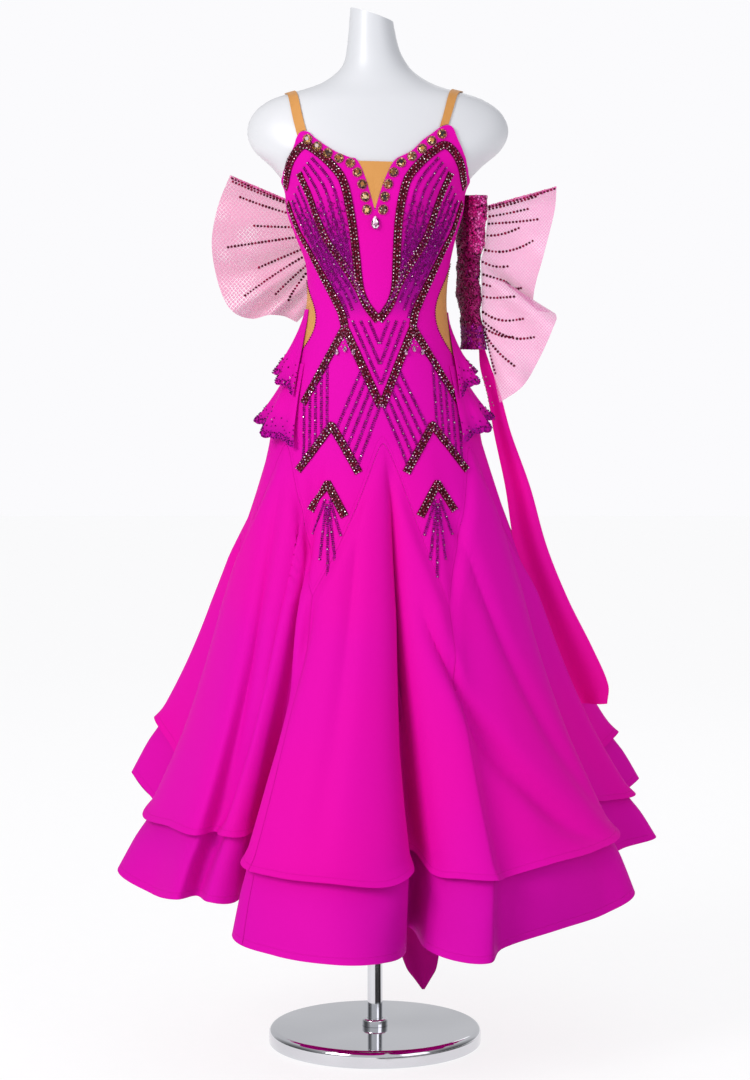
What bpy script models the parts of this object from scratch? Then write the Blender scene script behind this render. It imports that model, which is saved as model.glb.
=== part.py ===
"""Ballroom dance dress on a chrome-footed dress form, built as a maker would cut and sew it.

Metres, +Z up, the wearer's front faces -Y, so +X is the right of the dress seen from the front. Every
cloth piece is a closed wall. Its outer face lies on one of two surfaces: the body surface, which wraps
the dress form, and the skirt surface, which runs from a ring at the hip out to the folded hem. Angles
go round the body in degrees: 0 is the middle of the front, +90 is the +X side, 180 is the middle of
the back.
"""
import math

import bmesh
import bpy
from mathutils import Vector

# ---- Driving sizes -------------------------------------------------------------------------------
BASE_RADIUS = 0.175          # chrome foot plate
BASE_HEIGHT = 0.028
BASE_BEVEL = 0.010
BASE_STEPS = 40              # facets round the plate
POLE_RADIUS = 0.0125
POLE_STEPS = 24
COLLAR_RADIUS = 0.021
COLLAR_HEIGHT = 0.012
COLLAR_CHAMFER = 0.003
COLLAR_STEPS = 18
FLANGE_RADIUS = 0.050
FLANGE_HEIGHT = 0.008
FLANGE_STEPS = 32
FORM_BOTTOM = 0.860
SEAT = 0.0003                # gap that touching pieces keep
SEAM = 0.00015               # half the gap at a sewn seam

CLOTH = 0.0016               # wall of crepe cloth
NET = 0.0012                 # wall of stiffened net
EASE = 0.0029                # air between the form and the bodice
ROUND_STEPS = 28             # facets round the dress form
RING_Z = 0.993               # height where the skirt surface leaves the body surface
SEAM_STEPS = 6               # steps along a godet seam, from its apex to a panel's tip
HEM_STEPS = 5                # steps from the panels' tips to the hem
LAYER_KICK = 0.006           # how far the upper layer's hem flares over the band
LAYER_LAP = 0.012            # how far the band starts above that hem
# the band's rows: share of its height, share of its spread
BAND_ROWS = ((0.0, 0.0), (0.14, 0.02), (0.5, 0.48), (1.0, 1.0))

# ---- The dress form: a row for each level section ------------------------------------------------
# z, half_width, centre_x, front, back
FORM_SECTIONS = (
    (1.674, 0.0345, -0.0050, 0.038, 0.034),
    (1.650, 0.0372, -0.0050, 0.040, 0.037),
    (1.620, 0.0426, -0.0030, 0.043, 0.045),
    (1.600, 0.0500, 0.0000, 0.046, 0.052),
    (1.585, 0.0615, 0.0010, 0.049, 0.057),
    (1.570, 0.0830, 0.0020, 0.053, 0.062),
    (1.560, 0.1070, 0.0020, 0.056, 0.066),
    (1.550, 0.1440, 0.0030, 0.060, 0.070),
    (1.540, 0.1720, 0.0030, 0.064, 0.074),
    (1.520, 0.1985, 0.0040, 0.070, 0.080),
    (1.490, 0.2100, 0.0045, 0.080, 0.087),
    (1.460, 0.1985, 0.0035, 0.090, 0.092),
    (1.430, 0.1660, 0.0020, 0.099, 0.094),
    (1.400, 0.1435, 0.0005, 0.104, 0.095),
    (1.360, 0.1375, 0.0000, 0.103, 0.093),
    (1.320, 0.1245, 0.0015, 0.096, 0.089),
    (1.280, 0.1125, 0.0045, 0.088, 0.083),
    (1.240, 0.1085, 0.0035, 0.083, 0.078),
    (1.200, 0.1100, 0.0020, 0.084, 0.080),
    (1.150, 0.1205, 0.0000, 0.089, 0.092),
    (1.100, 0.1355, -0.0005, 0.097, 0.107),
    (1.040, 0.1550, 0.0000, 0.103, 0.119),
    (0.993, 0.1670, 0.0010, 0.105, 0.121),
    (0.920, 0.1600, 0.0010, 0.101, 0.110),
    (0.860, 0.1480, 0.0010, 0.095, 0.097),
)
NECK_CUT_SLOPE = -0.33       # the neck is cut off on a slant
ROW_GAP = 0.045              # table rows further apart than this get one between
SHOULDER_GAP = 0.015         # the same, round the shoulders
SHOULDER_LOW, SHOULDER_HIGH = 1.40, 1.55
CUP_ANGLE, CUP_Z = 31.0, 1.385
CUP_DEPTH, CUP_SPREAD, CUP_TALL = 0.017, 17.0, 0.036

# ---- The skirt: a row for each fold station of the hem -------------------------------------------
# angle, then x, y, z of the upper layer's hem, then x, y, z of the band's hem
HEM_STATIONS = (
    (-101, -0.368, 0.170, 0.516, -0.414, 0.180, 0.418),
    (-91, -0.325, 0.080, 0.448, -0.339, 0.080, 0.330),
    (-80, -0.374, -0.020, 0.385, -0.420, -0.030, 0.296),
    (-70, -0.325, -0.120, 0.382, -0.357, -0.125, 0.273),
    (-62, -0.285, -0.170, 0.377, -0.315, -0.180, 0.275),
    (-54, -0.254, -0.150, 0.379, -0.284, -0.155, 0.276),
    (-46, -0.238, -0.205, 0.383, -0.262, -0.212, 0.278),
    (-38, -0.205, -0.205, 0.382, -0.222, -0.208, 0.276),
    (-33, -0.177, -0.156, 0.393, -0.190, -0.159, 0.290),
    (-29.5, -0.161, -0.172, 0.388, -0.173, -0.178, 0.282),
    (-24.5, -0.203, -0.272, 0.353, -0.221, -0.292, 0.243),
    (-18, -0.151, -0.335, 0.344, -0.152, -0.375, 0.230),
    (-10, -0.068, -0.370, 0.341, -0.058, -0.420, 0.226),
    (-3, 0.015, -0.355, 0.332, 0.010, -0.405, 0.225),
    (2, 0.055, -0.300, 0.343, 0.046, -0.340, 0.225),
    (5.5, 0.050, -0.218, 0.361, 0.048, -0.232, 0.240),
    (8.5, 0.066, -0.220, 0.358, 0.060, -0.236, 0.238),
    (12, 0.090, -0.278, 0.337, 0.076, -0.303, 0.226),
    (20, 0.132, -0.310, 0.336, 0.122, -0.345, 0.215),
    (29, 0.184, -0.315, 0.334, 0.176, -0.355, 0.214),
    (36, 0.203, -0.275, 0.332, 0.198, -0.290, 0.222),
    (45, 0.278, -0.235, 0.346, 0.287, -0.240, 0.240),
    (54, 0.344, -0.180, 0.354, 0.363, -0.185, 0.253),
    (63, 0.388, -0.110, 0.369, 0.416, -0.125, 0.276),
    (71, 0.344, -0.030, 0.403, 0.367, -0.035, 0.302),
    (78, 0.380, 0.010, 0.401, 0.407, 0.010, 0.320),
    (85, 0.427, 0.060, 0.404, 0.468, 0.065, 0.331),
    (93, 0.362, 0.120, 0.440, 0.382, 0.125, 0.350),
    (101, 0.410, 0.200, 0.487, 0.453, 0.215, 0.404),
    (112, 0.330, 0.235, 0.446, 0.352, 0.252, 0.346),
    (124, 0.318, 0.322, 0.424, 0.345, 0.352, 0.320),
    (136, 0.215, 0.285, 0.414, 0.228, 0.308, 0.308),
    (148, 0.185, 0.380, 0.400, 0.200, 0.420, 0.292),
    (160, 0.085, 0.315, 0.394, 0.090, 0.340, 0.286),
    (172, 0.030, 0.400, 0.388, 0.032, 0.442, 0.278),
    (184, -0.050, 0.320, 0.390, -0.054, 0.345, 0.282),
    (195, -0.120, 0.395, 0.392, -0.130, 0.435, 0.284),
    (207, -0.170, 0.305, 0.402, -0.182, 0.328, 0.294),
    (219, -0.262, 0.340, 0.414, -0.286, 0.372, 0.308),
    (232, -0.262, 0.245, 0.434, -0.280, 0.262, 0.330),
    (245, -0.345, 0.245, 0.462, -0.382, 0.262, 0.360),
)
DRAPE_STRAIGHT = 0.75        # share of the flare that grows evenly from hip to hem

# godet, angle and height of its apex, then angle and height of the panel tips on each side
GODETS = (
    ("front", 4.0, 0.993, -22.0, 0.755, 30.0, 0.739),
    ("front_right", 60.0, 0.985, 30.0, 0.739, 90.0, 0.745),
    ("back_right", 120.0, 0.985, 90.0, 0.745, 150.0, 0.740),
    ("back", 180.0, 0.985, 150.0, 0.740, 210.0, 0.740),
    ("back_left", 240.0, 0.985, 210.0, 0.740, 270.0, 0.745),
    ("front_left", -57.0, 0.990, -90.0, 0.745, -22.0, 0.755),
)
SEAM_BOW = 0.4               # how round a godet's apex is: 0 a sharp point, 1 a full arch
FIRST_ROW = 0.4              # the godet starts this share down the first step of its seam
STATION_CLEAR = 2.0          # a fold station this near a seam gets no column of its own

# ---- The bodice ----------------------------------------------------------------------------------
# column counted from the middle of the front, angle round the body, height: +X side, then -X side
NECKLINE_RIGHT = (
    (0, 0.0, 1.3600), (1, 4.2, 1.3960), (2, 8.7, 1.4370), (3, 12.0, 1.4464), (4, 16.0, 1.4543),
    (5, 20.0, 1.4715), (6, 23.9, 1.4825), (7, 28.4, 1.4934), (8, 33.4, 1.4950), (9, 37.4, 1.4746),
    (10, 43.6, 1.4558), (11, 50.0, 1.4440), (12, 57.0, 1.4330), (14, 69.0, 1.4180), (18, 90.0, 1.4050),
)
NECKLINE_LEFT = (
    (0, 0.0, 1.3600), (1, -4.4, 1.3970), (2, -9.6, 1.4386), (3, -13.0, 1.4440), (4, -17.5, 1.4500),
    (5, -21.9, 1.4590), (6, -28.4, 1.4762), (7, -31.5, 1.4856), (8, -36.0, 1.4840), (9, -41.0, 1.4620),
    (10, -48.0, 1.4450), (11, -54.0, 1.4365), (12, -60.0, 1.4290), (14, -71.0, 1.4165), (18, -90.0, 1.4050),
)
# angle, height of the low back's edge
BACK_EDGE = (
    (90, 1.4050), (105, 1.3950), (125, 1.3300), (145, 1.2500), (162, 1.2050), (180, 1.1900),
    (198, 1.2050), (215, 1.2500), (235, 1.3300), (255, 1.3950), (270, 1.4050),
)
SIDE_TOP, SIDE_TIP = 1.405, 0.745
HIP_LINE = 1.050
# heights of the rows at the side seam
SIDE_ROWS = (
    1.405, 1.372, 1.340, 1.308, 1.282, 1.255, 1.228, 1.200, 1.169, 1.137,
    1.105, 1.050, 0.993, 0.870, 0.745,
)
# side, top and bottom row of the tan side insert, how far it reaches to the front and to the back
SIDE_INSERTS = (("left", 5, 10, 34.0, 12.0), ("right", 4, 10, 34.0, 12.0))
INSERT_STEPS = 5
INSERT_NEAR = 45.0           # the bodice is drawn back from the insert up to this far from the seam
NECK_INSERT_STEPS = 4
NECK_INSERT_POINT = 0.12     # the insert's point starts this share up the neckline's first step
INSERT_TIP = 0.25            # the insert ends this share into its first row

STRAP_WIDTH = 0.014
STRAP_CLOTH = 0.0010
STRAP_AIR = 0.0012
STRAP_END_GAP = 0.0034
STRAP_PIVOT_Z = 1.440
STRAP_STEPS = 28
FRONT_TURNS = (math.pi / 2, -0.3)             # where the front end of a strap is looked for
BACK_TURNS = (math.pi / 2, math.pi + 1.3)     # and the back end
SEARCH_STEPS = 40
# side, x at the front end, at the top of the shoulder and at the back end
STRAPS = (("left", -0.1155, -0.1380, -0.0950), ("right", 0.1090, 0.1345, 0.0920))

STONE_COUNT = 9
STONE_HEIGHT = 0.0042
STONE_STRIP = 0.0150
STONE_BASE = 0.0008
STONE_AIR = 0.0008
STONE_STEPS = 2              # steps along the strip for each stone
STONE_MARKS = 140            # fine steps by which the neckline is measured
STONE_FIRST = (0, 2.2, 1.3560)   # column, angle and height where the rows begin, by the V's point
STONE_DROP = 0.002           # how far the strip's top edge stays below the neckline
STONE_REACH = 5.2            # how far round the body the strip's lower edge is moved, in degrees
STONE_FALL = 0.55            # share of the strip's width that it falls
DROP_SIZE = (0.0065, 0.0035, 0.0110)
DROP_TAPER = 0.35
DROP_Z = 1.3420

# ---- Hip flounces --------------------------------------------------------------------------------
# name, side, z of the top edge, z of the hem in front and behind, angle of the front edge at the top
# and at the hem, angle of the back edge, flare
PEPLUMS = (
    ("left_upper", -1, 1.205, 1.069, 1.122, 60.0, 55.0, 112.0, 0.018),
    ("left_lower", -1, 1.118, 0.987, 1.046, 57.0, 46.0, 120.0, 0.023),
    ("right_upper", 1, 1.200, 1.065, 1.126, 86.0, 58.0, 128.0, 0.021),
    ("right_lower", 1, 1.114, 0.994, 1.048, 62.0, 51.0, 120.0, 0.022),
)
PEPLUM_WAVES = 3.5
PEPLUM_COLUMNS, PEPLUM_ROWS = 14, 3
PEPLUM_AIR = 0.0008
PEPLUM_SWELL = 0.28          # how much more the flounce stands out at a wave's crest
PEPLUM_STRAIGHT = 0.25       # share of the flare that grows evenly
PEPLUM_EDGE = 0.35           # share of the flare that is left at the front edge
PEPLUM_EDGE_REACH = 0.30     # and how far along the flounce the flare grows to its full size
SCALLOP = 0.003

# ---- Arm pieces ----------------------------------------------------------------------------------
# share of the length, half thickness, half width, how far the right armband bows in to the waist
ARMBAND_SECTIONS = (
    (0.00, 0.0195, 0.038, 0.000), (0.14, 0.0205, 0.040, 0.001), (0.32, 0.0190, 0.037, 0.006),
    (0.42, 0.0150, 0.034, 0.011), (0.58, 0.0170, 0.036, 0.013), (0.78, 0.0130, 0.032, 0.008),
    (0.88, 0.0150, 0.034, 0.003), (1.00, 0.0160, 0.036, 0.000),
)
ARMBAND_TOP, ARMBAND_BOTTOM = 1.389, 1.140
ARMBAND_SEAT = {"left": 0.005, "right": 0.030}   # it touches the bodice this far below its top
ARMBAND_ANGLES = {"left": -150.0, "right": 106.0}
ARMBAND_BOWS = {"left": 0.0, "right": 0.7}
ARMBAND_LEAN = 0.004          # how far its lower end stands off
ARMBAND_STEPS = 14
# air between an armband and the dress's outer face; the left one rests on the bare back
ARMBAND_AIR = {"left": -0.0048, "right": 0.0006}

# share down the wing, then x, y, z of its outer edge
WING_RIGHT = (
    (0.00, 0.292, -0.012, 1.4020), (0.12, 0.290, 0.012, 1.3620), (0.24, 0.272, -0.010, 1.2940),
    (0.36, 0.258, 0.018, 1.2330), (0.42, 0.262, 0.044, 1.2060), (0.48, 0.291, -0.004, 1.1980),
    (0.60, 0.284, -0.030, 1.1700), (0.74, 0.258, -0.008, 1.1110), (0.87, 0.236, -0.030, 1.0800),
    (1.00, 0.202, -0.010, 1.0550),
)
WING_LEFT = (
    (0.00, -0.236, 0.050, 1.4230), (0.14, -0.258, 0.078, 1.3720), (0.28, -0.266, 0.044, 1.3120),
    (0.42, -0.258, 0.074, 1.2500), (0.55, -0.236, 0.046, 1.2050), (0.68, -0.205, 0.078, 1.1900),
    (0.80, -0.175, 0.062, 1.1960), (0.90, -0.150, 0.084, 1.1940), (1.00, -0.129, 0.092, 1.1840),
)
WING_ROOT_RIGHT = (1.372, 1.165)      # heights of the root's ends, on the armband
WING_ROOT_LEFT = (1.372, 1.205)
WING_COLUMNS, WING_ROWS = 18, 4
WING_FOLDS = 5
WING_FOLD_DEPTH = 0.005

# z, x of the inner and outer edge, y of the hanging float
FLOAT_ROWS = (
    (1.1397, 0.170, 0.180, 0.0500), (1.110, 0.172, 0.190, 0.044), (1.063, 0.184, 0.206, 0.036),
    (1.005, 0.194, 0.222, 0.032), (0.916, 0.213, 0.254, 0.032), (0.818, 0.229, 0.282, 0.037),
    (0.730, 0.257, 0.318, 0.050), (0.645, 0.286, 0.361, 0.066), (0.583, 0.312, 0.388, 0.079),
    (0.550, 0.336, 0.387, 0.087),
)
FLOAT_FOLD = 0.010
FLOAT_COLUMNS, FLOAT_STEPS = 6, 14
FLOAT_FLAT_STEPS = 6         # the fold has grown to its full depth after this many steps

# z, x of the middle, half width, y of the inner tail panel
TAIL_ROWS = (
    (0.620, 0.0300, 0.006, -0.1571), (0.560, 0.0330, 0.013, -0.155), (0.430, 0.0450, 0.022, -0.153),
    (0.300, 0.0580, 0.030, -0.150), (0.200, 0.0700, 0.032, -0.150), (0.160, 0.0740, 0.024, -0.150),
    (0.140, 0.0760, 0.012, -0.150), (0.124, 0.0770, 0.002, -0.150),
)
TAIL_FOLD = 0.007
TAIL_COLUMNS, TAIL_STEPS = 4, 9
TAIL_WIDE = 0.03             # half width at which the fold is at its full depth
TAIL_CLOSER = 0.8            # draws the rows together towards the point

# ---- Colours: base colour, roughness, metallic ---------------------------------------------------
FINISHES = {
    "crepe": ((0.83, 0.004, 0.39), 0.50, 0.0),
    "beaded": ((0.62, 0.004, 0.28), 0.45, 0.0),
    "tan_mesh": ((0.67, 0.30, 0.065), 0.65, 0.0),
    "net": ((0.86, 0.35, 0.62), 0.60, 0.0),
    "sequin": ((0.26, 0.002, 0.10), 0.35, 0.3),
    "stones": ((0.55, 0.24, 0.05), 0.12, 0.2),
    "form_gloss": ((0.78, 0.79, 0.81), 0.22, 0.0),
    "chrome": ((0.75, 0.76, 0.78), 0.10, 1.0),
}
COLLECTION = "ballroom_dance_dress"


# ---- Small helpers -------------------------------------------------------------------------------
def curve_value(rows, key, column):
    """Smooth value of a table's column at key; rows rise or fall steadily in their first column."""
    if rows[0][0] > rows[-1][0]:
        rows = rows[::-1]
    last = len(rows) - 2
    index = 0
    while index < last and key > rows[index + 1][0]:
        index += 1
    low, high = rows[index], rows[index + 1]
    before = rows[max(index - 1, 0)]
    after = rows[min(index + 2, last + 1)]
    span = high[0] - low[0]
    share = (key - low[0]) / span
    slope_low = (high[column] - before[column]) / max(high[0] - before[0], 1e-9)
    slope_high = (after[column] - low[column]) / max(after[0] - low[0], 1e-9)
    if index == 0:
        slope_low = (high[column] - low[column]) / span
    if index == last:
        slope_high = (high[column] - low[column]) / span
    cube, square = share ** 3, share ** 2
    return (
        (2 * cube - 3 * square + 1) * low[column]
        + (cube - 2 * square + share) * span * slope_low
        + (3 * square - 2 * cube) * high[column]
        + (cube - square) * span * slope_high
    )


def line_value(rows, key, column):
    """Straight-line value of a table's column at key."""
    for low, high in zip(rows, rows[1:]):
        if key <= high[0]:
            break
    share = (key - low[0]) / (high[0] - low[0])
    return low[column] + share * (high[column] - low[column])


def mix(a, b, share):
    return a + (b - a) * share


# ---- The two surfaces ----------------------------------------------------------------------------
def form_point(angle, z):
    """A point on the dress form's skin."""
    half = curve_value(FORM_SECTIONS, z, 1)
    centre = curve_value(FORM_SECTIONS, z, 2)
    turn = math.radians(angle)
    depth = curve_value(FORM_SECTIONS, z, 3 if math.cos(turn) > 0 else 4)
    across = (abs((angle + 180) % 360 - 180) - CUP_ANGLE) / CUP_SPREAD
    cup = CUP_DEPTH * math.exp(-across ** 2 - ((z - CUP_Z) / CUP_TALL) ** 2)
    return Vector((centre + half * math.sin(turn), -(depth + cup) * math.cos(turn), z))


def outward(surface, angle, z):
    """The surface's outward direction, from small steps along it."""
    step_angle, step_z = 0.5, 0.002
    along = surface(angle + step_angle, z) - surface(angle - step_angle, z)
    up = surface(angle, z + step_z) - surface(angle, z - step_z)
    return along.cross(up).normalized()


def body_point(angle, z):
    """A point on the outer face of the cloth that wraps the form."""
    level = Vector((1, 1, 0))
    out = outward(form_point, angle, z) * level
    return form_point(angle, z) + out.normalized() * (EASE + CLOTH)


HEM_LOOP = tuple((row[0] - 360,) + row[1:] for row in HEM_STATIONS) + HEM_STATIONS
HEM_LOOP = HEM_LOOP + tuple((row[0] + 360,) + row[1:] for row in HEM_STATIONS)


def hem_point(angle, first_column):
    return Vector([curve_value(HEM_LOOP, angle, first_column + axis) for axis in range(3)])


def drape(share):
    """How much of the hem's flare is reached at a share of the way down."""
    return DRAPE_STRAIGHT * share + (1 - DRAPE_STRAIGHT) * share ** 3


def dress_point(angle, z):
    """The dress's outer face: the body surface down to the ring, then the skirt's upper layer."""
    if z >= RING_Z:
        return body_point(angle, z)
    ring = body_point(angle, RING_Z)
    hem = hem_point(angle, 1)
    share = (RING_Z - z) / (RING_Z - hem.z)
    flare = drape(share)
    return Vector((mix(ring.x, hem.x, flare), mix(ring.y, hem.y, flare), z))


def along_speed(angle, z):
    """Metres on the dress for each degree round it."""
    return (dress_point(angle + 0.5, z) - dress_point(angle - 0.5, z)).length


# ---- Walls and objects ---------------------------------------------------------------------------
def finish_material(name):
    material = bpy.data.materials.get(name)
    if material:
        return material
    colour, roughness, metallic = FINISHES[name]
    material = bpy.data.materials.new(name)
    material.use_nodes = True
    shader = material.node_tree.nodes["Principled BSDF"]
    shader.inputs["Base Color"].default_value = (*colour, 1.0)
    shader.inputs["Roughness"].default_value = roughness
    shader.inputs["Metallic"].default_value = metallic
    material.diffuse_color = (*colour, 1.0)
    return material


def add_object(name, mesh, finish, parts):
    piece = bpy.data.objects.new(name, mesh)
    material = finish_material(finish).copy()
    material.name = f"{name}_{finish}"
    mesh.materials.append(material)
    parts.objects.link(piece)
    return piece


def loft(name, outer, inner, finish, parts, closed=False):
    """A closed wall between two matching grids of points, rows from one edge of the cloth to the other."""
    shape = bmesh.new()
    skins = []
    for grid in (outer, inner):
        skins.append([[shape.verts.new(point) for point in row] for row in grid])
    rows, columns = len(outer), len(outer[0])
    spans = columns if closed else columns - 1
    for skin, flip in zip(skins, (False, True)):
        for i in range(rows - 1):
            for j in range(spans):
                k = (j + 1) % columns
                face = [skin[i][j], skin[i][k], skin[i + 1][k], skin[i + 1][j]]
                shape.faces.new(face[::-1] if flip else face)
    front, back = skins
    for j in range(spans):
        k = (j + 1) % columns
        shape.faces.new((front[0][k], front[0][j], back[0][j], back[0][k]))
        shape.faces.new((front[-1][j], front[-1][k], back[-1][k], back[-1][j]))
    if not closed:
        for i in range(rows - 1):
            shape.faces.new((front[i][0], front[i + 1][0], back[i + 1][0], back[i][0]))
            shape.faces.new((front[i + 1][-1], front[i][-1], back[i][-1], back[i + 1][-1]))
    bmesh.ops.recalc_face_normals(shape, faces=shape.faces)
    bmesh.ops.triangulate(shape, faces=shape.faces)
    mesh = bpy.data.meshes.new(name)
    shape.to_mesh(mesh)
    shape.free()
    return add_object(name, mesh, finish, parts)


def turned(name, profile, finish, parts, steps, at=(0, 0, 0)):
    """A turned solid: a closed profile of radius and height, spun about the pole's axis."""
    mesh = bpy.data.meshes.new(name)
    shape = bmesh.new()
    points = [shape.verts.new((radius, 0, height)) for radius, height in profile]
    for low, high in zip(points, points[1:]):
        shape.edges.new((low, high))
    shape.to_mesh(mesh)
    shape.free()
    piece = add_object(name, mesh, finish, parts)
    piece.location = at
    screw = piece.modifiers.new("turn", "SCREW")
    screw.steps = steps
    screw.render_steps = steps
    screw.use_merge_vertices = True
    screw.merge_threshold = 0.00001
    return piece


# ---- The stand and the dress form ----------------------------------------------------------------
def build_stand(parts):
    low, high = BASE_BEVEL * 0.4, BASE_BEVEL
    base = [(0, BASE_HEIGHT), (BASE_RADIUS - high, BASE_HEIGHT)]
    base += [(BASE_RADIUS - high * 0.3, BASE_HEIGHT - high * 0.3), (BASE_RADIUS, BASE_HEIGHT - high)]
    base += [(BASE_RADIUS, low), (BASE_RADIUS - low, 0), (0, 0)]
    turned("stand_base", base, "chrome", parts, BASE_STEPS)

    foot = BASE_HEIGHT + SEAT
    top = FORM_BOTTOM - FLANGE_HEIGHT - 2 * SEAT
    pole = [(0, top), (POLE_RADIUS, top), (POLE_RADIUS, foot), (0, foot)]
    turned("stand_pole", pole, "chrome", parts, POLE_STEPS)

    hole = POLE_RADIUS + SEAT
    top, slant = foot + COLLAR_HEIGHT, COLLAR_CHAMFER
    ring = [(hole, top), (COLLAR_RADIUS - slant, top), (COLLAR_RADIUS, top - slant)]
    ring += [(COLLAR_RADIUS, foot), (hole, foot)]
    turned("stand_collar", ring + ring[:1], "chrome", parts, COLLAR_STEPS)

    under = FORM_BOTTOM - FLANGE_HEIGHT - SEAT
    over = FORM_BOTTOM - SEAT
    plate = [(0, over), (FLANGE_RADIUS, over), (FLANGE_RADIUS, under), (0, under)]
    turned("form_flange", plate, "chrome", parts, FLANGE_STEPS)


def form_rows():
    """Heights of the form's rows: each table row, and one between where the rows are far apart."""
    heights = []
    for low, high in zip(FORM_SECTIONS, FORM_SECTIONS[1:]):
        heights.append(low[0])
        shoulder = SHOULDER_LOW <= high[0] < SHOULDER_HIGH
        if low[0] - high[0] > (SHOULDER_GAP if shoulder else ROW_GAP):
            heights.append((low[0] + high[0]) / 2)
    heights.append(FORM_SECTIONS[-1][0])
    return heights


def build_form(parts):
    shape = bmesh.new()
    rings = []
    heights = form_rows()
    for z in heights:
        ring = []
        for step in range(ROUND_STEPS):
            point = form_point(step * 360 / ROUND_STEPS, z)
            if z == heights[0]:
                point.z += NECK_CUT_SLOPE * point.x
            ring.append(shape.verts.new(point))
        rings.append(ring)
    for upper, lower in zip(rings, rings[1:]):
        for step in range(ROUND_STEPS):
            follow = (step + 1) % ROUND_STEPS
            shape.faces.new((upper[step], upper[follow], lower[follow], lower[step]))
    shape.faces.new(rings[0])
    shape.faces.new(rings[-1][::-1])
    bmesh.ops.recalc_face_normals(shape, faces=shape.faces)
    bmesh.ops.triangulate(shape, faces=shape.faces)
    mesh = bpy.data.meshes.new("dress_form")
    shape.to_mesh(mesh)
    shape.free()
    add_object("dress_form", mesh, "form_gloss", parts)


# ---- Godet seams ---------------------------------------------------------------------------------
def seam_shares():
    """Steps from apex to tip as pairs: share of the width, share of the height."""
    steps = []
    for step in range(SEAM_STEPS + 1):
        root = step / SEAM_STEPS
        height = root ** 2
        steps.append(((1 - SEAM_BOW) * height + SEAM_BOW * root, height))
    return steps


def seam_points(apex_angle, apex_z, tip_angle, tip_z):
    """Angle and height of each seam point, from the apex to the tip."""
    return [(mix(apex_angle, tip_angle, wide), mix(apex_z, tip_z, tall)) for wide, tall in seam_shares()]


def zigzag(side):
    """The bodice's lower edge from the middle out to a side seam, or across the back."""
    godet = {row[0]: row[1:] for row in GODETS}
    if side == "right":
        angle, z, _, _, tip, tip_z = godet["front"]
        edge = seam_points(angle, z, tip, tip_z)
        angle, z, tip, tip_z, far, far_z = godet["front_right"]
        edge += seam_points(angle, z, tip, tip_z)[-2::-1]
        return edge + seam_points(angle, z, far, far_z)[1:]
    if side == "left":
        angle, z, tip, tip_z, _, _ = godet["front"]
        edge = seam_points(angle, z, tip, tip_z)
        angle, z, far, far_z, tip, tip_z = godet["front_left"]
        edge += seam_points(angle, z, tip, tip_z)[-2::-1]
        return edge + seam_points(angle, z, far, far_z)[1:]
    edge = []
    for name in ("back_right", "back", "back_left"):
        angle, z, tip, tip_z, far, far_z = godet[name]
        first = seam_points(angle, z, tip, tip_z)[::-1]
        edge += first[1:] if edge else first
        edge += seam_points(angle, z, far, far_z)[1:]
    return edge


def side_edge(reach, top_row, bottom_row, z):
    """How far a bodice's side edge stands back from the side seam, in degrees, for the tan insert."""
    top, bottom = SIDE_ROWS[top_row], SIDE_ROWS[bottom_row]
    rows = []
    for height in SIDE_ROWS[top_row:bottom_row + 1]:
        rows.append((height, reach * math.sin(math.pi * (top - height) / (top - bottom))))
    if z >= top or z <= bottom:
        return 0.0
    return line_value(rows[::-1], z, 1)


def row_shares():
    return [(SIDE_TOP - z) / (SIDE_TOP - SIDE_TIP) for z in SIDE_ROWS]


def row_height(top_z, bottom_z, side_z):
    """Height of a row's point in a column: rows are level at the hip line, then fan out to both edges."""
    if side_z >= HIP_LINE:
        return mix(top_z, HIP_LINE, (SIDE_TOP - side_z) / (SIDE_TOP - HIP_LINE))
    return mix(HIP_LINE, bottom_z, (HIP_LINE - side_z) / (HIP_LINE - SIDE_TIP))


def pulled_in(angle, side_z, side, reach_column):
    """Moves a bodice point near the side seam, in the row that meets it at side_z, off the insert."""
    insert = {row[0]: row for row in SIDE_INSERTS}[side]
    seam = 90.0 if side == "right" else -90.0
    if angle > 180:
        angle -= 360
    away = abs(abs(angle) - 90.0)
    if away > INSERT_NEAR:
        return angle
    back = side_edge(insert[reach_column], insert[1], insert[2], side_z)
    sign = 1 if abs(angle) < 90 or (abs(angle) == 90 and reach_column == 3) else -1
    towards = math.copysign(1, seam)
    return angle - sign * towards * back * (1 - away / INSERT_NEAR)


def seam_shift(angle, z, sign):
    """An angle moved by half a seam gap along the dress."""
    return angle + sign * SEAM / along_speed(angle, z)


def from_pole(point):
    """The level direction from the pole to a point."""
    return Vector((point.x, point.y, 0)).normalized()


def cloth_grid(places, wall):
    """Outer and inner points for a grid of angle and height places on the dress."""
    outer = []
    inner = []
    for row in places:
        face = [dress_point(angle, z) for angle, z in row]
        out = [outward(dress_point, angle, z) for angle, z in row]
        outer.append(face)
        inner.append([point - way * wall for point, way in zip(face, out)])
    return outer, inner


def front_columns():
    """For each bodice column from the -X side seam to the +X one: top place and bottom place."""
    columns = []
    for side, neckline in (("left", NECKLINE_LEFT), ("right", NECKLINE_RIGHT)):
        half = []
        for column, bottom in enumerate(zigzag(side)):
            top = (line_value(neckline, column, 1), line_value(neckline, column, 2))
            half.append((top, bottom))
        columns += half[:0:-1] if side == "left" else half
    return columns


def bottom_shift(bottoms, column):
    """Which way a lower-edge point moves round the body to stay clear of the godet beside it."""
    z = bottoms[column][1]
    before = bottoms[max(column - 1, 0)][1]
    after = bottoms[min(column + 1, len(bottoms) - 1)][1]
    if before > z < after or before < z > after:
        return 0
    return -1 if after < before else 1


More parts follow.
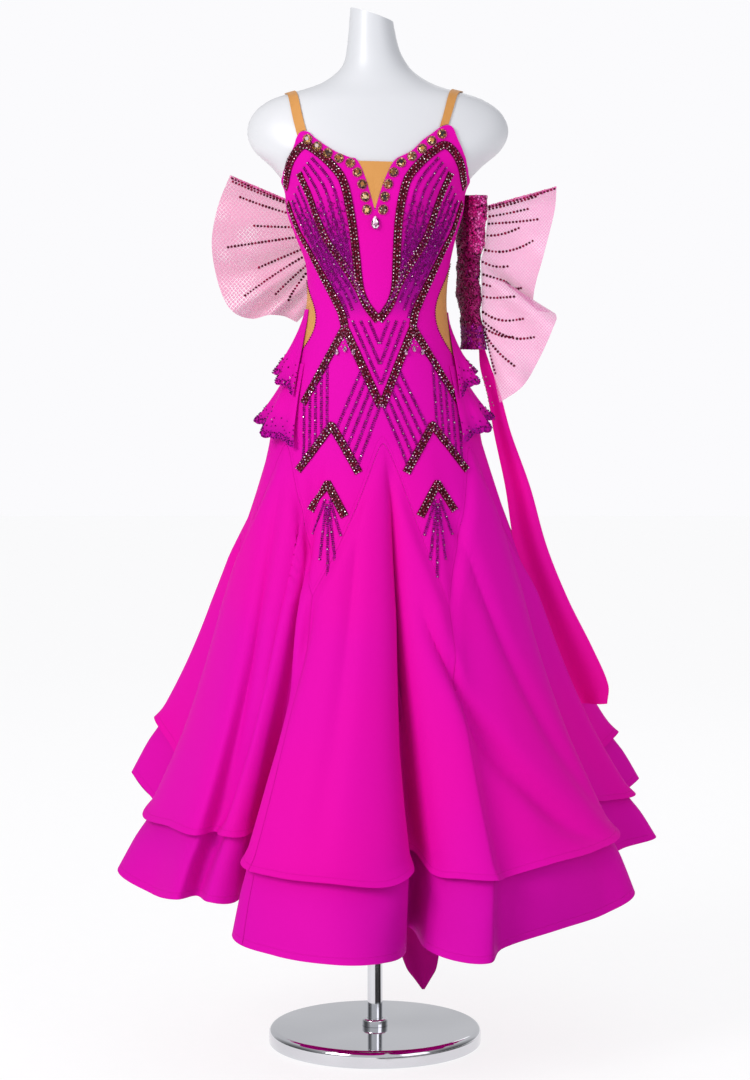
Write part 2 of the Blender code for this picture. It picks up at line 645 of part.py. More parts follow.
def build_bodice_front(parts):
    columns = front_columns()
    bottoms = [bottom for _, bottom in columns]
    places = []
    for side_z, share in zip(SIDE_ROWS, row_shares()):
        row = []
        for column, (top, bottom) in enumerate(columns):
            z = row_height(top[1], bottom[1] + SEAM, side_z)
            angle = mix(top[0], bottom[0], share)
            if share == 1 and 0 < column < len(columns) - 1:
                angle = seam_shift(angle, z, -bottom_shift(bottoms, column))
            side = "left" if angle < 0 else "right"
            angle = pulled_in(angle, side_z, side, 3)
            if column in (0, len(columns) - 1):
                angle = seam_shift(angle, z, 1 if column == 0 else -1)
            row.append((angle, z))
        places.append(row)
    outer, inner = cloth_grid(places, CLOTH)
    loft("bodice_front", outer, inner, "beaded", parts)
    return places


def build_bodice_back(parts):
    edge = zigzag("back")
    places = []
    for side_z, share in zip(SIDE_ROWS, row_shares()):
        row = []
        for column, (angle, low) in enumerate(edge):
            top = curve_value(BACK_EDGE, angle, 1)
            z = row_height(top, low + SEAM, side_z)
            place = angle
            if share == 1 and 0 < column < len(edge) - 1:
                place = seam_shift(angle, z, -bottom_shift(edge, column))
            if angle < 180:
                place = pulled_in(place, side_z, "right", 4)
            else:
                place = pulled_in(place, side_z, "left", 4) + 360
            if column in (0, len(edge) - 1):
                place = seam_shift(place, z, 1 if column == 0 else -1)
            row.append((place, z))
        places.append(row)
    outer, inner = cloth_grid(places, CLOTH)
    loft("bodice_back", outer, inner, "crepe", parts)
    return places


def build_neck_insert(parts):
    """The tan mesh that fills the V, from its straight top edge to its point."""
    right, left = NECKLINE_RIGHT[:3], NECKLINE_LEFT[:3]
    levels = [(0, NECK_INSERT_POINT), (0, 1.0), (1, 0.5), (1, 1.0)]
    places = []
    for index, share in levels[::-1]:
        row = []
        for rows, sign in ((left, 1), (right, -1)):
            angle = mix(rows[index][1], rows[index + 1][1], share)
            z = mix(rows[index][2], rows[index + 1][2], share)
            row.append((seam_shift(angle, z, 2 * sign), z))
        (angle_left, z_left), (angle_right, z_right) = row
        shares = [step / NECK_INSERT_STEPS for step in range(NECK_INSERT_STEPS + 1)]
        places.append([(mix(angle_left, angle_right, a), mix(z_left, z_right, a)) for a in shares])
    outer, inner = cloth_grid(places, STRAP_CLOTH)
    loft("neck_insert", outer, inner, "tan_mesh", parts)


def build_side_inserts(parts):
    """The tan mesh lenses at the waist, between the front and the back of the bodice."""
    for side, top_row, bottom_row, to_front, to_back in SIDE_INSERTS:
        sign = 1 if side == "right" else -1
        places = []
        for z in SIDE_ROWS[top_row:bottom_row + 1]:
            near = 90 - side_edge(to_front, top_row, bottom_row, z)
            far = 90 + side_edge(to_back, top_row, bottom_row, z)
            ends = (seam_shift(sign * near, z, 3 * sign), seam_shift(sign * far, z, -3 * sign))
            places.append([(mix(*ends, step / INSERT_STEPS), z) for step in range(INSERT_STEPS + 1)])
        outer, inner = cloth_grid(places, STRAP_CLOTH)
        for grid in (outer, inner):
            grid[0] = [end.lerp(point, INSERT_TIP) for end, point in zip(grid[0], grid[1])]
            grid[-1] = [end.lerp(point, INSERT_TIP) for end, point in zip(grid[-1], grid[-2])]
        loft(f"side_mesh_{side}", outer, inner, "tan_mesh", parts)


# ---- Straps --------------------------------------------------------------------------------------
def outside_form(x, y, z):
    """Above 0 outside the form, below 0 inside it."""
    z = min(max(z, FORM_SECTIONS[-1][0]), FORM_SECTIONS[0][0])
    half = curve_value(FORM_SECTIONS, z, 1)
    centre = curve_value(FORM_SECTIONS, z, 2)
    depth = curve_value(FORM_SECTIONS, z, 3 if y < 0 else 4)
    return ((x - centre) / half) ** 2 + (y / depth) ** 2 - 1


def form_ray(x, turn):
    """Where a ray from the strap's pivot, in the plane of x, leaves the form."""
    near, far = 0.0, 0.25
    for _ in range(SEARCH_STEPS):
        reach = (near + far) / 2
        y, z = -reach * math.cos(turn), STRAP_PIVOT_Z + reach * math.sin(turn)
        if outside_form(x, y, z) < 0:
            near = reach
        else:
            far = reach
    return Vector((x, -near * math.cos(turn), STRAP_PIVOT_Z + near * math.sin(turn)))


def form_out(point):
    """The form's outward direction at a point on it."""
    step = 0.0005
    slopes = []
    for axis in range(3):
        shift = Vector((0, 0, 0))
        shift[axis] = step
        slopes.append(outside_form(*(point + shift)) - outside_form(*(point - shift)))
    return Vector(slopes).normalized()


def edge_height(top_row, angle):
    """Height of a bodice's top edge at an angle round the body."""
    for (low_angle, low_z), (high_angle, high_z) in zip(top_row, top_row[1:]):
        if low_angle <= angle <= high_angle:
            share = (angle - low_angle) / (high_angle - low_angle)
            return mix(low_z, high_z, share)
    return top_row[0][1]


def angle_of(point):
    centre = curve_value(FORM_SECTIONS, point.z, 2)
    half = curve_value(FORM_SECTIONS, point.z, 1)
    depth = curve_value(FORM_SECTIONS, point.z, 3 if point.y < 0 else 4)
    return math.degrees(math.atan2((point.x - centre) / half, -point.y / depth))


def strap_end(x, top_row, start, stop, wrap):
    """The ray angle where the strap meets a bodice's top edge."""
    for _ in range(SEARCH_STEPS):
        middle = (start + stop) / 2
        point = form_ray(x, middle)
        angle = angle_of(point)
        if wrap and angle < 0:
            angle += 360
        if point.z > edge_height(top_row, angle) + STRAP_END_GAP:
            start = middle
        else:
            stop = middle
    return start


def build_straps(parts, front_top, back_top):
    for side, x_front, x_top, x_back in STRAPS:
        outer, inner = [], []
        offsets = (-STRAP_WIDTH / 2, 0, STRAP_WIDTH / 2)
        starts = [strap_end(x_front + shift, front_top, *FRONT_TURNS, False) for shift in offsets]
        ends = [strap_end(x_back + shift, back_top, *BACK_TURNS, True) for shift in offsets]
        for step in range(STRAP_STEPS + 1):
            share = step / STRAP_STEPS
            row_out, row_in = [], []
            for shift, start, end in zip(offsets, starts, ends):
                turn = mix(start, end, share)
                if turn < math.pi / 2:
                    x = mix(x_front, x_top, (turn - start) / (math.pi / 2 - start))
                else:
                    x = mix(x_top, x_back, (turn - math.pi / 2) / (end - math.pi / 2))
                point = form_ray(x + shift, turn)
                out = form_out(point)
                row_out.append(point + out * (STRAP_AIR + STRAP_CLOTH))
                row_in.append(point + out * STRAP_AIR)
            outer.append(row_out)
            inner.append(row_in)
        loft(f"strap_{side}", outer, inner, "tan_mesh", parts)


# ---- Stones along the neckline -------------------------------------------------------------------
def even_columns(corners, sign, count):
    """Columns of a line over the corners that lie the same distance apart along the dress."""
    fine = [corners[-1][0] * mark / STONE_MARKS for mark in range(STONE_MARKS + 1)]
    places = [dress_point(sign * line_value(corners, column, 1), line_value(corners, column, 2))
              for column in fine]
    lengths = [0.0]
    for near, far in zip(places, places[1:]):
        lengths.append(lengths[-1] + (far - near).length)
    rows = list(zip(lengths, fine))
    return [line_value(rows, lengths[-1] * step / count, 1) for step in range(count + 1)]


def build_neck_stones(parts):
    """A narrow strip along each neckline edge, raised into a row of large stones."""
    for side, neckline in (("left", NECKLINE_LEFT), ("right", NECKLINE_RIGHT)):
        sign = 1 if side == "right" else -1
        corners = [STONE_FIRST]
        corners += [(row[0], abs(row[1]), row[2] - STONE_DROP) for row in neckline[1:8]]
        outer, inner = [], []
        for step, column in enumerate(even_columns(corners, sign, STONE_COUNT * STONE_STEPS)):
            angle = line_value(corners, column, 1)
            z = line_value(corners, column, 2)
            bump = math.sin(math.pi * (step % STONE_STEPS) / STONE_STEPS) if step % STONE_STEPS else 0
            row_out, row_in = [], []
            for across, raise_share in ((0, 0.0), (0.5, 1.0), (1, 0.0)):
                place = sign * (angle + STONE_REACH * across)
                height = z - across * STONE_STRIP * STONE_FALL
                out = outward(dress_point, place, height)
                point = dress_point(place, height)
                row_in.append(point + out * STONE_AIR)
                row_out.append(point + out * (STONE_AIR + STONE_BASE + STONE_HEIGHT * bump * raise_share))
            outer.append(row_out)
            inner.append(row_in)
        loft(f"neck_stones_{side}", outer, inner, "stones", parts)


def build_centre_drop(parts):
    """The drop-shaped stone under the point of the V."""
    mesh = bpy.data.meshes.new("centre_drop")
    shape = bmesh.new()
    bmesh.ops.create_uvsphere(shape, u_segments=10, v_segments=7, radius=1.0)
    for vertex in shape.verts:
        taper = 1 - DROP_TAPER * max(vertex.co.z, 0)
        vertex.co.x *= DROP_SIZE[0] * taper
        vertex.co.y *= DROP_SIZE[1]
        vertex.co.z *= DROP_SIZE[2]
    skin = dress_point(0, DROP_Z)
    place = skin + outward(dress_point, 0, DROP_Z) * (DROP_SIZE[1] + 2 * SEAT)
    bmesh.ops.translate(shape, verts=shape.verts, vec=place)
    shape.to_mesh(mesh)
    shape.free()
    add_object("centre_drop", mesh, "stones", parts)


# ---- Hip flounces --------------------------------------------------------------------------------
def build_peplums(parts):
    for name, sign, z_top, hem_front, hem_back, start_top, start_hem, stop, flare in PEPLUMS:
        outer, inner = [], []
        for i in range(PEPLUM_ROWS + 1):
            down = i / PEPLUM_ROWS
            row_out, row_in = [], []
            for j in range(PEPLUM_COLUMNS + 1):
                along = j / PEPLUM_COLUMNS
                wave = math.cos(2 * math.pi * PEPLUM_WAVES * along)
                angle = sign * mix(mix(start_top, start_hem, down), stop, along)
                z = mix(z_top, mix(hem_front, hem_back, along) - SCALLOP * wave, down)
                fall = mix(down ** 2, down, PEPLUM_STRAIGHT)
                fall *= mix(PEPLUM_EDGE, 1, min(along / PEPLUM_EDGE_REACH, 1))
                lift = PEPLUM_AIR + NET + flare * fall * (1 + PEPLUM_SWELL * wave)
                out = outward(dress_point, angle, z)
                row_out.append(dress_point(angle, z) + out * lift)
                row_in.append(dress_point(angle, z) + out * (lift - NET))
            outer.append(row_out)
            inner.append(row_in)
        loft(f"peplum_{name}", outer, inner, "crepe", parts)


# ---- Skirt ---------------------------------------------------------------------------------------
def godet_columns(left, right):
    """Shares across a godet: every fold station in it and a place between each two."""
    low_limit, high_limit = left + STATION_CLEAR, right - STATION_CLEAR
    stations = [row[0] for row in HEM_LOOP if low_limit < row[0] < high_limit]
    marks = [left] + stations + [right]
    angles = []
    for low, high in zip(marks, marks[1:]):
        angles += [low, (low + high) / 2]
    angles.append(right)
    return [(angle - left) / (right - left) for angle in angles]


def seam_line(apex_angle, apex_z, tip_angle, tip_z, sign):
    """The godet's edge from near its apex, past the tip, to the hem; sign points into the godet."""
    steps = seam_points(apex_angle, apex_z, tip_angle, tip_z)
    first = (mix(steps[0][0], steps[1][0], FIRST_ROW), mix(steps[0][1], steps[1][1], FIRST_ROW))
    edge = []
    for angle, z in [first] + steps[1:]:
        edge.append((seam_shift(angle, z, sign), z - SEAM))
    hem_z = hem_point(tip_angle, 1).z
    for step in range(1, HEM_STEPS + 1):
        share = step / HEM_STEPS
        last_but_one = (HEM_STEPS - 1) / HEM_STEPS
        z = mix(tip_z, hem_z, share)
        if share == last_but_one:
            z = hem_z + LAYER_LAP
        edge.append((seam_shift(tip_angle, z, sign), z))
    return edge


def godet_places(godet):
    """Angle and height of every point of a godet's grid, apex first."""
    _, apex, apex_z, left, left_z, right, right_z = godet
    left_edge = seam_line(apex, apex_z, left, left_z, 1)
    right_edge = seam_line(apex, apex_z, right, right_z, -1)
    places = []
    last = len(left_edge) - 1
    for index, (low, high) in enumerate(zip(left_edge, right_edge)):
        row = []
        for share in godet_columns(left, right):
            angle = mix(low[0], high[0], share)
            z = mix(low[1], high[1], share)
            below = index - SEAM_STEPS
            if below > 0:
                tip_z = mix(left_z, right_z, share)
                hem_z = hem_point(angle, 1).z
                z = mix(tip_z, hem_z, below / HEM_STEPS)
                if index == last - 1:
                    z = hem_z + LAYER_LAP
            row.append((angle, z))
        places.append(row)
    return places


def build_skirt(parts):
    """Each godet, flared a little at its hem, and the band that hangs from inside it."""
    for godet in GODETS:
        places = godet_places(godet)
        outer, inner = cloth_grid(places, CLOTH)
        for column, (angle, z) in enumerate(places[-1]):
            face = (outward(dress_point, angle, z) * Vector((1, 1, 0))).normalized()
            kick = (face + from_pole(dress_point(angle, z))).normalized() * LAYER_KICK
            outer[-1][column] += kick
            inner[-1][column] += kick
        loft(f"godet_{godet[0]}", outer, inner, "crepe", parts)
        build_band(godet[0], places[-2], parts)


def build_band(name, top_places, parts):
    """The under-flounce: straight down inside the upper layer's hem, then out to its own hem."""
    outer, inner = [], []
    for down, spread in BAND_ROWS:
        row_out, row_in = [], []
        for angle, z in top_places:
            out = outward(dress_point, angle, z)
            start = dress_point(angle, z) - out * (CLOTH + 2 * SEAT)
            end = hem_point(angle, 4)
            flat = (out * Vector((1, 1, 0))).normalized()
            point = start.lerp(end, spread)
            point.z = mix(start.z, end.z, down)
            row_out.append(point)
            row_in.append(point - flat * CLOTH if down else point - out * CLOTH)
        outer.append(row_out)
        inner.append(row_in)
    loft(f"band_{name}", outer, inner, "crepe", parts)


# ---- Arm pieces, float and tail ------------------------------------------------------------------
def armband_axes(side):
    """The armband's middle, its thin axis and its wide axis, seated against the bodice's side."""
    angle = ARMBAND_ANGLES[side]
    seat_z = ARMBAND_TOP - ARMBAND_SEAT[side]
    out = (outward(dress_point, angle, seat_z) * Vector((1, 1, 0))).normalized()
    seat = dress_point(angle, seat_z)
    reach = 0
    for share, thin, _, bow in ARMBAND_SECTIONS:
        beside = dress_point(angle, mix(ARMBAND_TOP, ARMBAND_BOTTOM, share))
        reach = max(reach, thin + bow * ARMBAND_BOWS[side] + (beside - seat).dot(out))
    middle = seat + out * (reach + ARMBAND_AIR[side])
    return middle, out, Vector((-out.y, out.x, 0))


def armband_point(side, share, turn, wall):
    middle, thin, wide = armband_axes(side)
    half_thin = line_value(ARMBAND_SECTIONS, share, 1) - wall
    half_wide = line_value(ARMBAND_SECTIONS, share, 2) - wall
    flat = Vector((middle.x, middle.y, mix(ARMBAND_TOP, ARMBAND_BOTTOM, share)))
    bow = line_value(ARMBAND_SECTIONS, share, 3) * ARMBAND_BOWS[side]
    flat += thin * (ARMBAND_LEAN * share - bow)
    return flat + thin * half_thin * math.cos(turn) + wide * half_wide * math.sin(turn)


def outermost_turn(side, share):
    """Where the armband reaches furthest to its own side."""
    _, thin, wide = armband_axes(side)
    half_thin = line_value(ARMBAND_SECTIONS, share, 1)
    half_wide = line_value(ARMBAND_SECTIONS, share, 2)
    turn = math.atan2(wide.x * half_wide, thin.x * half_thin)
    return turn if side == "right" else turn + math.pi


def build_armbands(parts):
    for side in ARMBAND_ANGLES:
        outer, inner = [], []
        for share, _, _, _ in ARMBAND_SECTIONS:
            turns = [2 * math.pi * k / ARMBAND_STEPS for k in range(ARMBAND_STEPS)]
            outer.append([armband_point(side, share, turn, 0) for turn in turns])
            inner.append([armband_point(side, share, turn, NET) for turn in turns])
        loft(f"armband_{side}", outer, inner, "sequin", parts, closed=True)


def sheet_out(grid):
    """The direction across a sheet at each of its points, from the points beside it."""
    rows, columns = len(grid), len(grid[0])
    ways = []
    for i in range(rows):
        way_row = []
        for k in range(columns):
            down = grid[min(i + 1, rows - 1)][k] - grid[max(i - 1, 0)][k]
            across = grid[i][min(k + 1, columns - 1)] - grid[i][max(k - 1, 0)]
            way_row.append(down.cross(across).normalized())
        ways.append(way_row)
    return ways


def build_wing(name, side, root, edge, parts):
    """A fan of stiff net from the armband's outer side to its own outer edge."""
    sheet = []
    for i in range(WING_COLUMNS + 1):
        down = i / WING_COLUMNS
        z = mix(root[0], root[1], down)
        share = (ARMBAND_TOP - z) / (ARMBAND_TOP - ARMBAND_BOTTOM)
        start = armband_point(side, share, outermost_turn(side, share), -2 * SEAT)
        end = Vector([curve_value(edge, down, 1 + axis) for axis in range(3)])
        row = []
        for k in range(WING_ROWS + 1):
            reach = k / WING_ROWS
            point = start.lerp(end, reach)
            fold = WING_FOLD_DEPTH * math.sin(math.pi * reach) * math.sin(2 * math.pi * WING_FOLDS * down)
            point.y += fold
            row.append(point)
        sheet.append(row)
    outer, inner = [], []
    for row, ways in zip(sheet, sheet_out(sheet)):
        outer.append([point + way * NET / 2 for point, way in zip(row, ways)])
        inner.append([point - way * NET / 2 for point, way in zip(row, ways)])
    loft(name, outer, inner, "net", parts)


def build_float(parts):
    """The long float that hangs from the right armband beside the skirt, folded once along its length."""
    outer, inner = [], []
    top, bottom = FLOAT_ROWS[0][0], FLOAT_ROWS[-1][0]
    for i in range(FLOAT_STEPS + 1):
        z = mix(top, bottom, i / FLOAT_STEPS)
        low, high = curve_value(FLOAT_ROWS, z, 1), curve_value(FLOAT_ROWS, z, 2)
        depth = curve_value(FLOAT_ROWS, z, 3)
        row_out, row_in = [], []
        for k in range(FLOAT_COLUMNS + 1):
            across = k / FLOAT_COLUMNS
            fold = FLOAT_FOLD * min(i / FLOAT_FLAT_STEPS, 1) * math.sin(2 * math.pi * across)
            point = Vector((mix(low, high, across), depth + fold, z))
            row_out.append(point + Vector((0, -CLOTH / 2, 0)))
            row_in.append(point + Vector((0, CLOTH / 2, 0)))
        outer.append(row_out)
        inner.append(row_in)
    loft("float_right", outer, inner, "crepe", parts)


def build_tail(parts):
    """The pointed panel that hangs inside the front, behind the deep fold."""
    outer, inner = [], []
    top, bottom = TAIL_ROWS[0][0], TAIL_ROWS[-1][0]
    for i in range(TAIL_STEPS + 1):
        z = mix(top, bottom, (i / TAIL_STEPS) ** TAIL_CLOSER)
        middle, half = curve_value(TAIL_ROWS, z, 1), curve_value(TAIL_ROWS, z, 2)
        depth = curve_value(TAIL_ROWS, z, 3)
        row_out, row_in = [], []
        for k in range(TAIL_COLUMNS + 1):
            across = 2 * k / TAIL_COLUMNS - 1
            fold = TAIL_FOLD * min(half / TAIL_WIDE, 1) * math.cos(math.pi * across)
            point = Vector((middle + half * across, depth + fold, z))
            row_out.append(point + Vector((0, -CLOTH / 2, 0)))
            row_in.append(point + Vector((0, CLOTH / 2, 0)))
        outer.append(row_out)
        inner.append(row_in)
    loft("tail_panel", outer, inner, "crepe", parts)


def main():
    for item in list(bpy.data.objects):
        bpy.data.objects.remove(item, do_unlink=True)
    parts = bpy.data.collections.new(COLLECTION)
    bpy.context.scene.collection.children.link(parts)
    build_stand(parts)
    build_form(parts)
    front = build_bodice_front(parts)
    back = build_bodice_back(parts)
    build_neck_insert(parts)
    build_side_inserts(parts)
    build_straps(parts, front[0], back[0])
    build_neck_stones(parts)
    build_centre_drop(parts)
    build_peplums(parts)
    build_skirt(parts)
    build_armbands(parts)
    build_wing("wing_right", "right", WING_ROOT_RIGHT, WING_RIGHT, parts)
    build_wing("wing_left", "left", WING_ROOT_LEFT, WING_LEFT, parts)
    build_float(parts)
    build_tail(parts)


main()
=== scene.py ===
# %% [markdown]
# # A ballroom dance dress on its display form
# The gown is cut like a real one: a beaded bodice that runs down into pointed panels, six godets let in
# between them, a stiff under-flounce in each hem, two-tier hip flounces, sequinned arm tubes and fans of
# net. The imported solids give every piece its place. This script gives each one its fine shape and finish.

# %% Load the frame
import math

import bmesh
import bpy
import numpy as np
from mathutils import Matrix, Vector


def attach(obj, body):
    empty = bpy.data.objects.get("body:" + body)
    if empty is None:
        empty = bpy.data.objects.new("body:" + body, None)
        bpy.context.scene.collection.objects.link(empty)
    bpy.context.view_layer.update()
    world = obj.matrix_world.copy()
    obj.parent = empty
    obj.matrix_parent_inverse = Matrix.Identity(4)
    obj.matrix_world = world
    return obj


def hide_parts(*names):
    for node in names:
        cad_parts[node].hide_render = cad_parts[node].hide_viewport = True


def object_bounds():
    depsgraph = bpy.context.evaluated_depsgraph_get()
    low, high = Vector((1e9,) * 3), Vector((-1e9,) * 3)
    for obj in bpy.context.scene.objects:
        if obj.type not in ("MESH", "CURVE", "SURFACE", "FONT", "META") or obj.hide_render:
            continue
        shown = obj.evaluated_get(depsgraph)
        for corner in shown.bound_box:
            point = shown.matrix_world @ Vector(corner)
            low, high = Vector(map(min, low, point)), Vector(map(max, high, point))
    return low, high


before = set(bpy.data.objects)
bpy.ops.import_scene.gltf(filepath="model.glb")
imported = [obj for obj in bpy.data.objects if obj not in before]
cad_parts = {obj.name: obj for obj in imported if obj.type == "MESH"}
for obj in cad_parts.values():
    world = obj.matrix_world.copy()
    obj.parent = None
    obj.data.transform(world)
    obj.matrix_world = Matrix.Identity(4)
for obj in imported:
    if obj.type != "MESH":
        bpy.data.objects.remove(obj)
cad_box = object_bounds()
print("solids:", len(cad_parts), "box:", cad_box)

# %% [markdown]
# ## Camera, light and floor
# The camera stands at waist height, 4.6 m away, and looks slightly down. A big soft light on the left, a
# weak cooler one on the right, a faint one behind and a bright room keep the shadows in the folds soft. The
# room is darker at its two sides, as between a studio's black panels, which gives chrome and lacquer their
# dark edges. What is seen behind the dress is plain near-white. The render writes colours as they are,
# without a film curve, so that a strong fuchsia stays strong.

# %% Camera, light and floor
scene = bpy.context.scene
scene.view_settings.view_transform = "Standard"
FLOOR_Z = cad_box[0][2]

lens = bpy.data.cameras.new("camera")
lens.sensor_width = 36
lens.lens = 94.49
lens.clip_end = 60
camera = bpy.data.objects.new("camera", lens)
camera.location = (0, -4.6, 1.20421)
camera.rotation_euler = (math.radians(90 - 4.64), 0, 0)
scene.collection.objects.link(camera)
scene.camera = camera


def area_light(name, place, size, power, colour):
    """A square soft light that faces the middle of the dress."""
    data = bpy.data.lights.new(name, "AREA")
    data.size = size
    data.energy = power
    data.color = colour
    lamp = bpy.data.objects.new(name, data)
    lamp.location = place
    aim = np.array((0, 0, 0.95)) - np.array(place)
    lamp.rotation_euler = (math.atan2(math.hypot(aim[0], aim[1]), -aim[2]), 0,
                           math.atan2(aim[1], aim[0]) - math.pi / 2)
    scene.collection.objects.link(lamp)


area_light("key", (-3.0, -3.2, 2.9), 2.0, 130, (1.0, 0.97, 0.96))
area_light("fill", (3.0, -3.0, 2.0), 2.4, 24, (0.96, 0.93, 1.0))
area_light("back", (0.6, 3.2, 2.8), 2.0, 9, (1.0, 1.0, 1.0))

ROOM_STRENGTH, ROOM_SEEN = 0.64, (0.966, 0.963, 0.982, 1)
# how far sideways a direction points, and how bright the room is there
ROOM_PANELS = ((0.62, 0.97), (0.97, 0.16))
world = bpy.data.worlds.new("room")
world.use_nodes = True
room = world.node_tree
lit = room.nodes["Background"]
lit.inputs["Strength"].default_value = ROOM_STRENGTH
aim, parts = room.nodes.new("ShaderNodeTexCoord"), room.nodes.new("ShaderNodeSeparateXYZ")
sideways, panels = room.nodes.new("ShaderNodeMath"), room.nodes.new("ShaderNodeValToRGB")
sideways.operation = "ABSOLUTE"
for stop, (place, grey) in zip(panels.color_ramp.elements, ROOM_PANELS):
    stop.position, stop.color = place, (grey, grey, grey * 1.03, 1)
room.links.new(aim.outputs["Generated"], parts.inputs[0])
room.links.new(parts.outputs[0], sideways.inputs[0])
room.links.new(sideways.outputs[0], panels.inputs[0])
room.links.new(panels.outputs[0], lit.inputs["Color"])
seen = room.nodes.new("ShaderNodeBackground")
seen.inputs["Color"].default_value = ROOM_SEEN
ray, mixed = room.nodes.new("ShaderNodeLightPath"), room.nodes.new("ShaderNodeMixShader")
room.links.new(ray.outputs["Is Camera Ray"], mixed.inputs[0])
room.links.new(lit.outputs[0], mixed.inputs[1])
room.links.new(seen.outputs[0], mixed.inputs[2])
room.links.new(mixed.outputs[0], room.nodes["World Output"].inputs["Surface"])
scene.world = world

floor_mesh = bpy.data.meshes.new("floor")
FLOOR = 12.0
floor_mesh.from_pydata([(-FLOOR, -FLOOR, FLOOR_Z), (FLOOR, -FLOOR, FLOOR_Z), (FLOOR, FLOOR, FLOOR_Z),
                        (-FLOOR, FLOOR, FLOOR_Z)], [], [(0, 1, 2, 3)])
floor = bpy.data.objects.new("floor", floor_mesh)
scene.collection.objects.link(floor)
print("camera at", tuple(camera.location))

# %% [markdown]
# ## Shader maths as plain expressions
# A finish is a few formulas: a knit is two crossed sines, an uneven dye is noise. The class below wraps a
# node's socket so that such a formula is written as Python, and each operator adds its Math node.


# %% A wire between shader nodes
class Wire:
    """A value in a material. Sums, products and powers of wires add the Math nodes that work them out."""

    def __init__(self, tree, socket=None):
        self.tree, self.socket = tree, socket

    def node(self, kind, settings=None, sockets=None, out=0):
        made = self.tree.nodes.new(kind)
        for key, value in (settings or {}).items():
            if key == "stops":
                ramp = made.color_ramp.elements
                while len(ramp) < len(value):
                    ramp.new(0.5)
                for element, (place, colour) in zip(ramp, value):
                    element.position = place
                    element.color = (*colour, 1)
            else:
                setattr(made, key, value)
        for key, value in (sockets or {}).items():
            if isinstance(value, Wire):
                self.tree.links.new(value.socket, made.inputs[key])
            else:
                made.inputs[key].default_value = value
        return Wire(self.tree, made.outputs[out])

    def maths(self, operation, *values):
        return self.node("ShaderNodeMath", {"operation": operation}, dict(enumerate(values)))

    def __add__(self, other):
        return self.maths("ADD", self, other)

    def __sub__(self, other):
        return self.maths("SUBTRACT", self, other)

    def __mul__(self, other):
        return self.maths("MULTIPLY", self, other)

    def __truediv__(self, other):
        return self.maths("DIVIDE", self, other)

    def __pow__(self, other):
        return self.maths("POWER", self, other)

    def __radd__(self, other):
        return self.maths("ADD", other, self)

    def __rsub__(self, other):
        return self.maths("SUBTRACT", other, self)

    def __rmul__(self, other):
        return self.maths("MULTIPLY", other, self)

    def sine(self):
        return self.maths("SINE", self)

    def size(self):
        return self.maths("ABSOLUTE", self)

    def least(self, other):
        return self.maths("MINIMUM", self, other)

    def step(self, low, high):
        """0 below low, 1 above high, smooth between."""
        sockets = {"Value": self, "From Min": low, "From Max": high}
        return self.node("ShaderNodeMapRange", {"interpolation_type": "SMOOTHSTEP"}, sockets)

    def blend(self, first, second):
        """A colour between two, with this wire as the share of the second."""
        return self.node("ShaderNodeMix", {"data_type": "RGBA"}, {0: self, 6: first, 7: second}, 2)

    def axes(self):
        """The three numbers of a vector."""
        first = self.node("ShaderNodeSeparateXYZ", None, {"Vector": self})
        outs = first.socket.node.outputs
        return [Wire(self.tree, outs[k]) for k in range(3)]


def finish(name, constants):
    """A new material, its shader with its constants set, and a first wire to build on."""
    material = bpy.data.materials.new(name)
    material.use_nodes = True
    shader = material.node_tree.nodes["Principled BSDF"]
    for key, value in constants.items():
        shader.inputs[key].default_value = value
    return material, shader, Wire(material.node_tree)


def plug(wire, shader, socket):
    wire.tree.links.new(wire.socket, shader.inputs[socket])


def object_place(start):
    return start.node("ShaderNodeTexCoord", None, None, 3)


def noise(start, place, scale, detail=2.0):
    sockets = {"Vector": place, "Scale": scale, "Detail": detail}
    return start.node("ShaderNodeTexNoise", None, sockets)


def bumped(start, height, distance, strength=1.0):
    sockets = {"Height": height, "Distance": distance, "Strength": strength}
    return start.node("ShaderNodeBump", None, sockets)


print("shader helpers ready")

# %% [markdown]
# ## Cloth finishes
# The gown is heavy matte crepe: no shine, a pebbly grain of twisted yarns, and a soft bloom at glancing
# angles. The under-flounces are the same cloth over stiff net, and a shade deeper. The grain, a line of
# stitching near each hem and a groove beside each seam are bump, worked out from the cloth's own measures:
# "hem" is the distance to the lower edge and "side" the distance to a seam, both in metres. The groove is
# also darkened, as painted shade. "violet" is how strongly dye is sprayed on.

# %% Crepe
FUCHSIA = (0.74, 0.0015, 0.375, 1)
FUCHSIA_COOL = (0.69, 0.0015, 0.40, 1)
FUCHSIA_DEEP = (0.50, 0.002, 0.22, 1)
VIOLET_DYE = (0.25, 0.002, 0.22, 1)
YARNS, CRINKLES = 950.0, 330.0
STITCH_HIGH, STITCH, SEAM_GROOVE = 0.011, (0.0004, 0.0011), (0.0006, 0.0035)


def distance_to(start, name):
    """A measure of the piece's own, stored on its points."""
    return start.node("ShaderNodeAttribute", {"attribute_name": name}, None, 2)


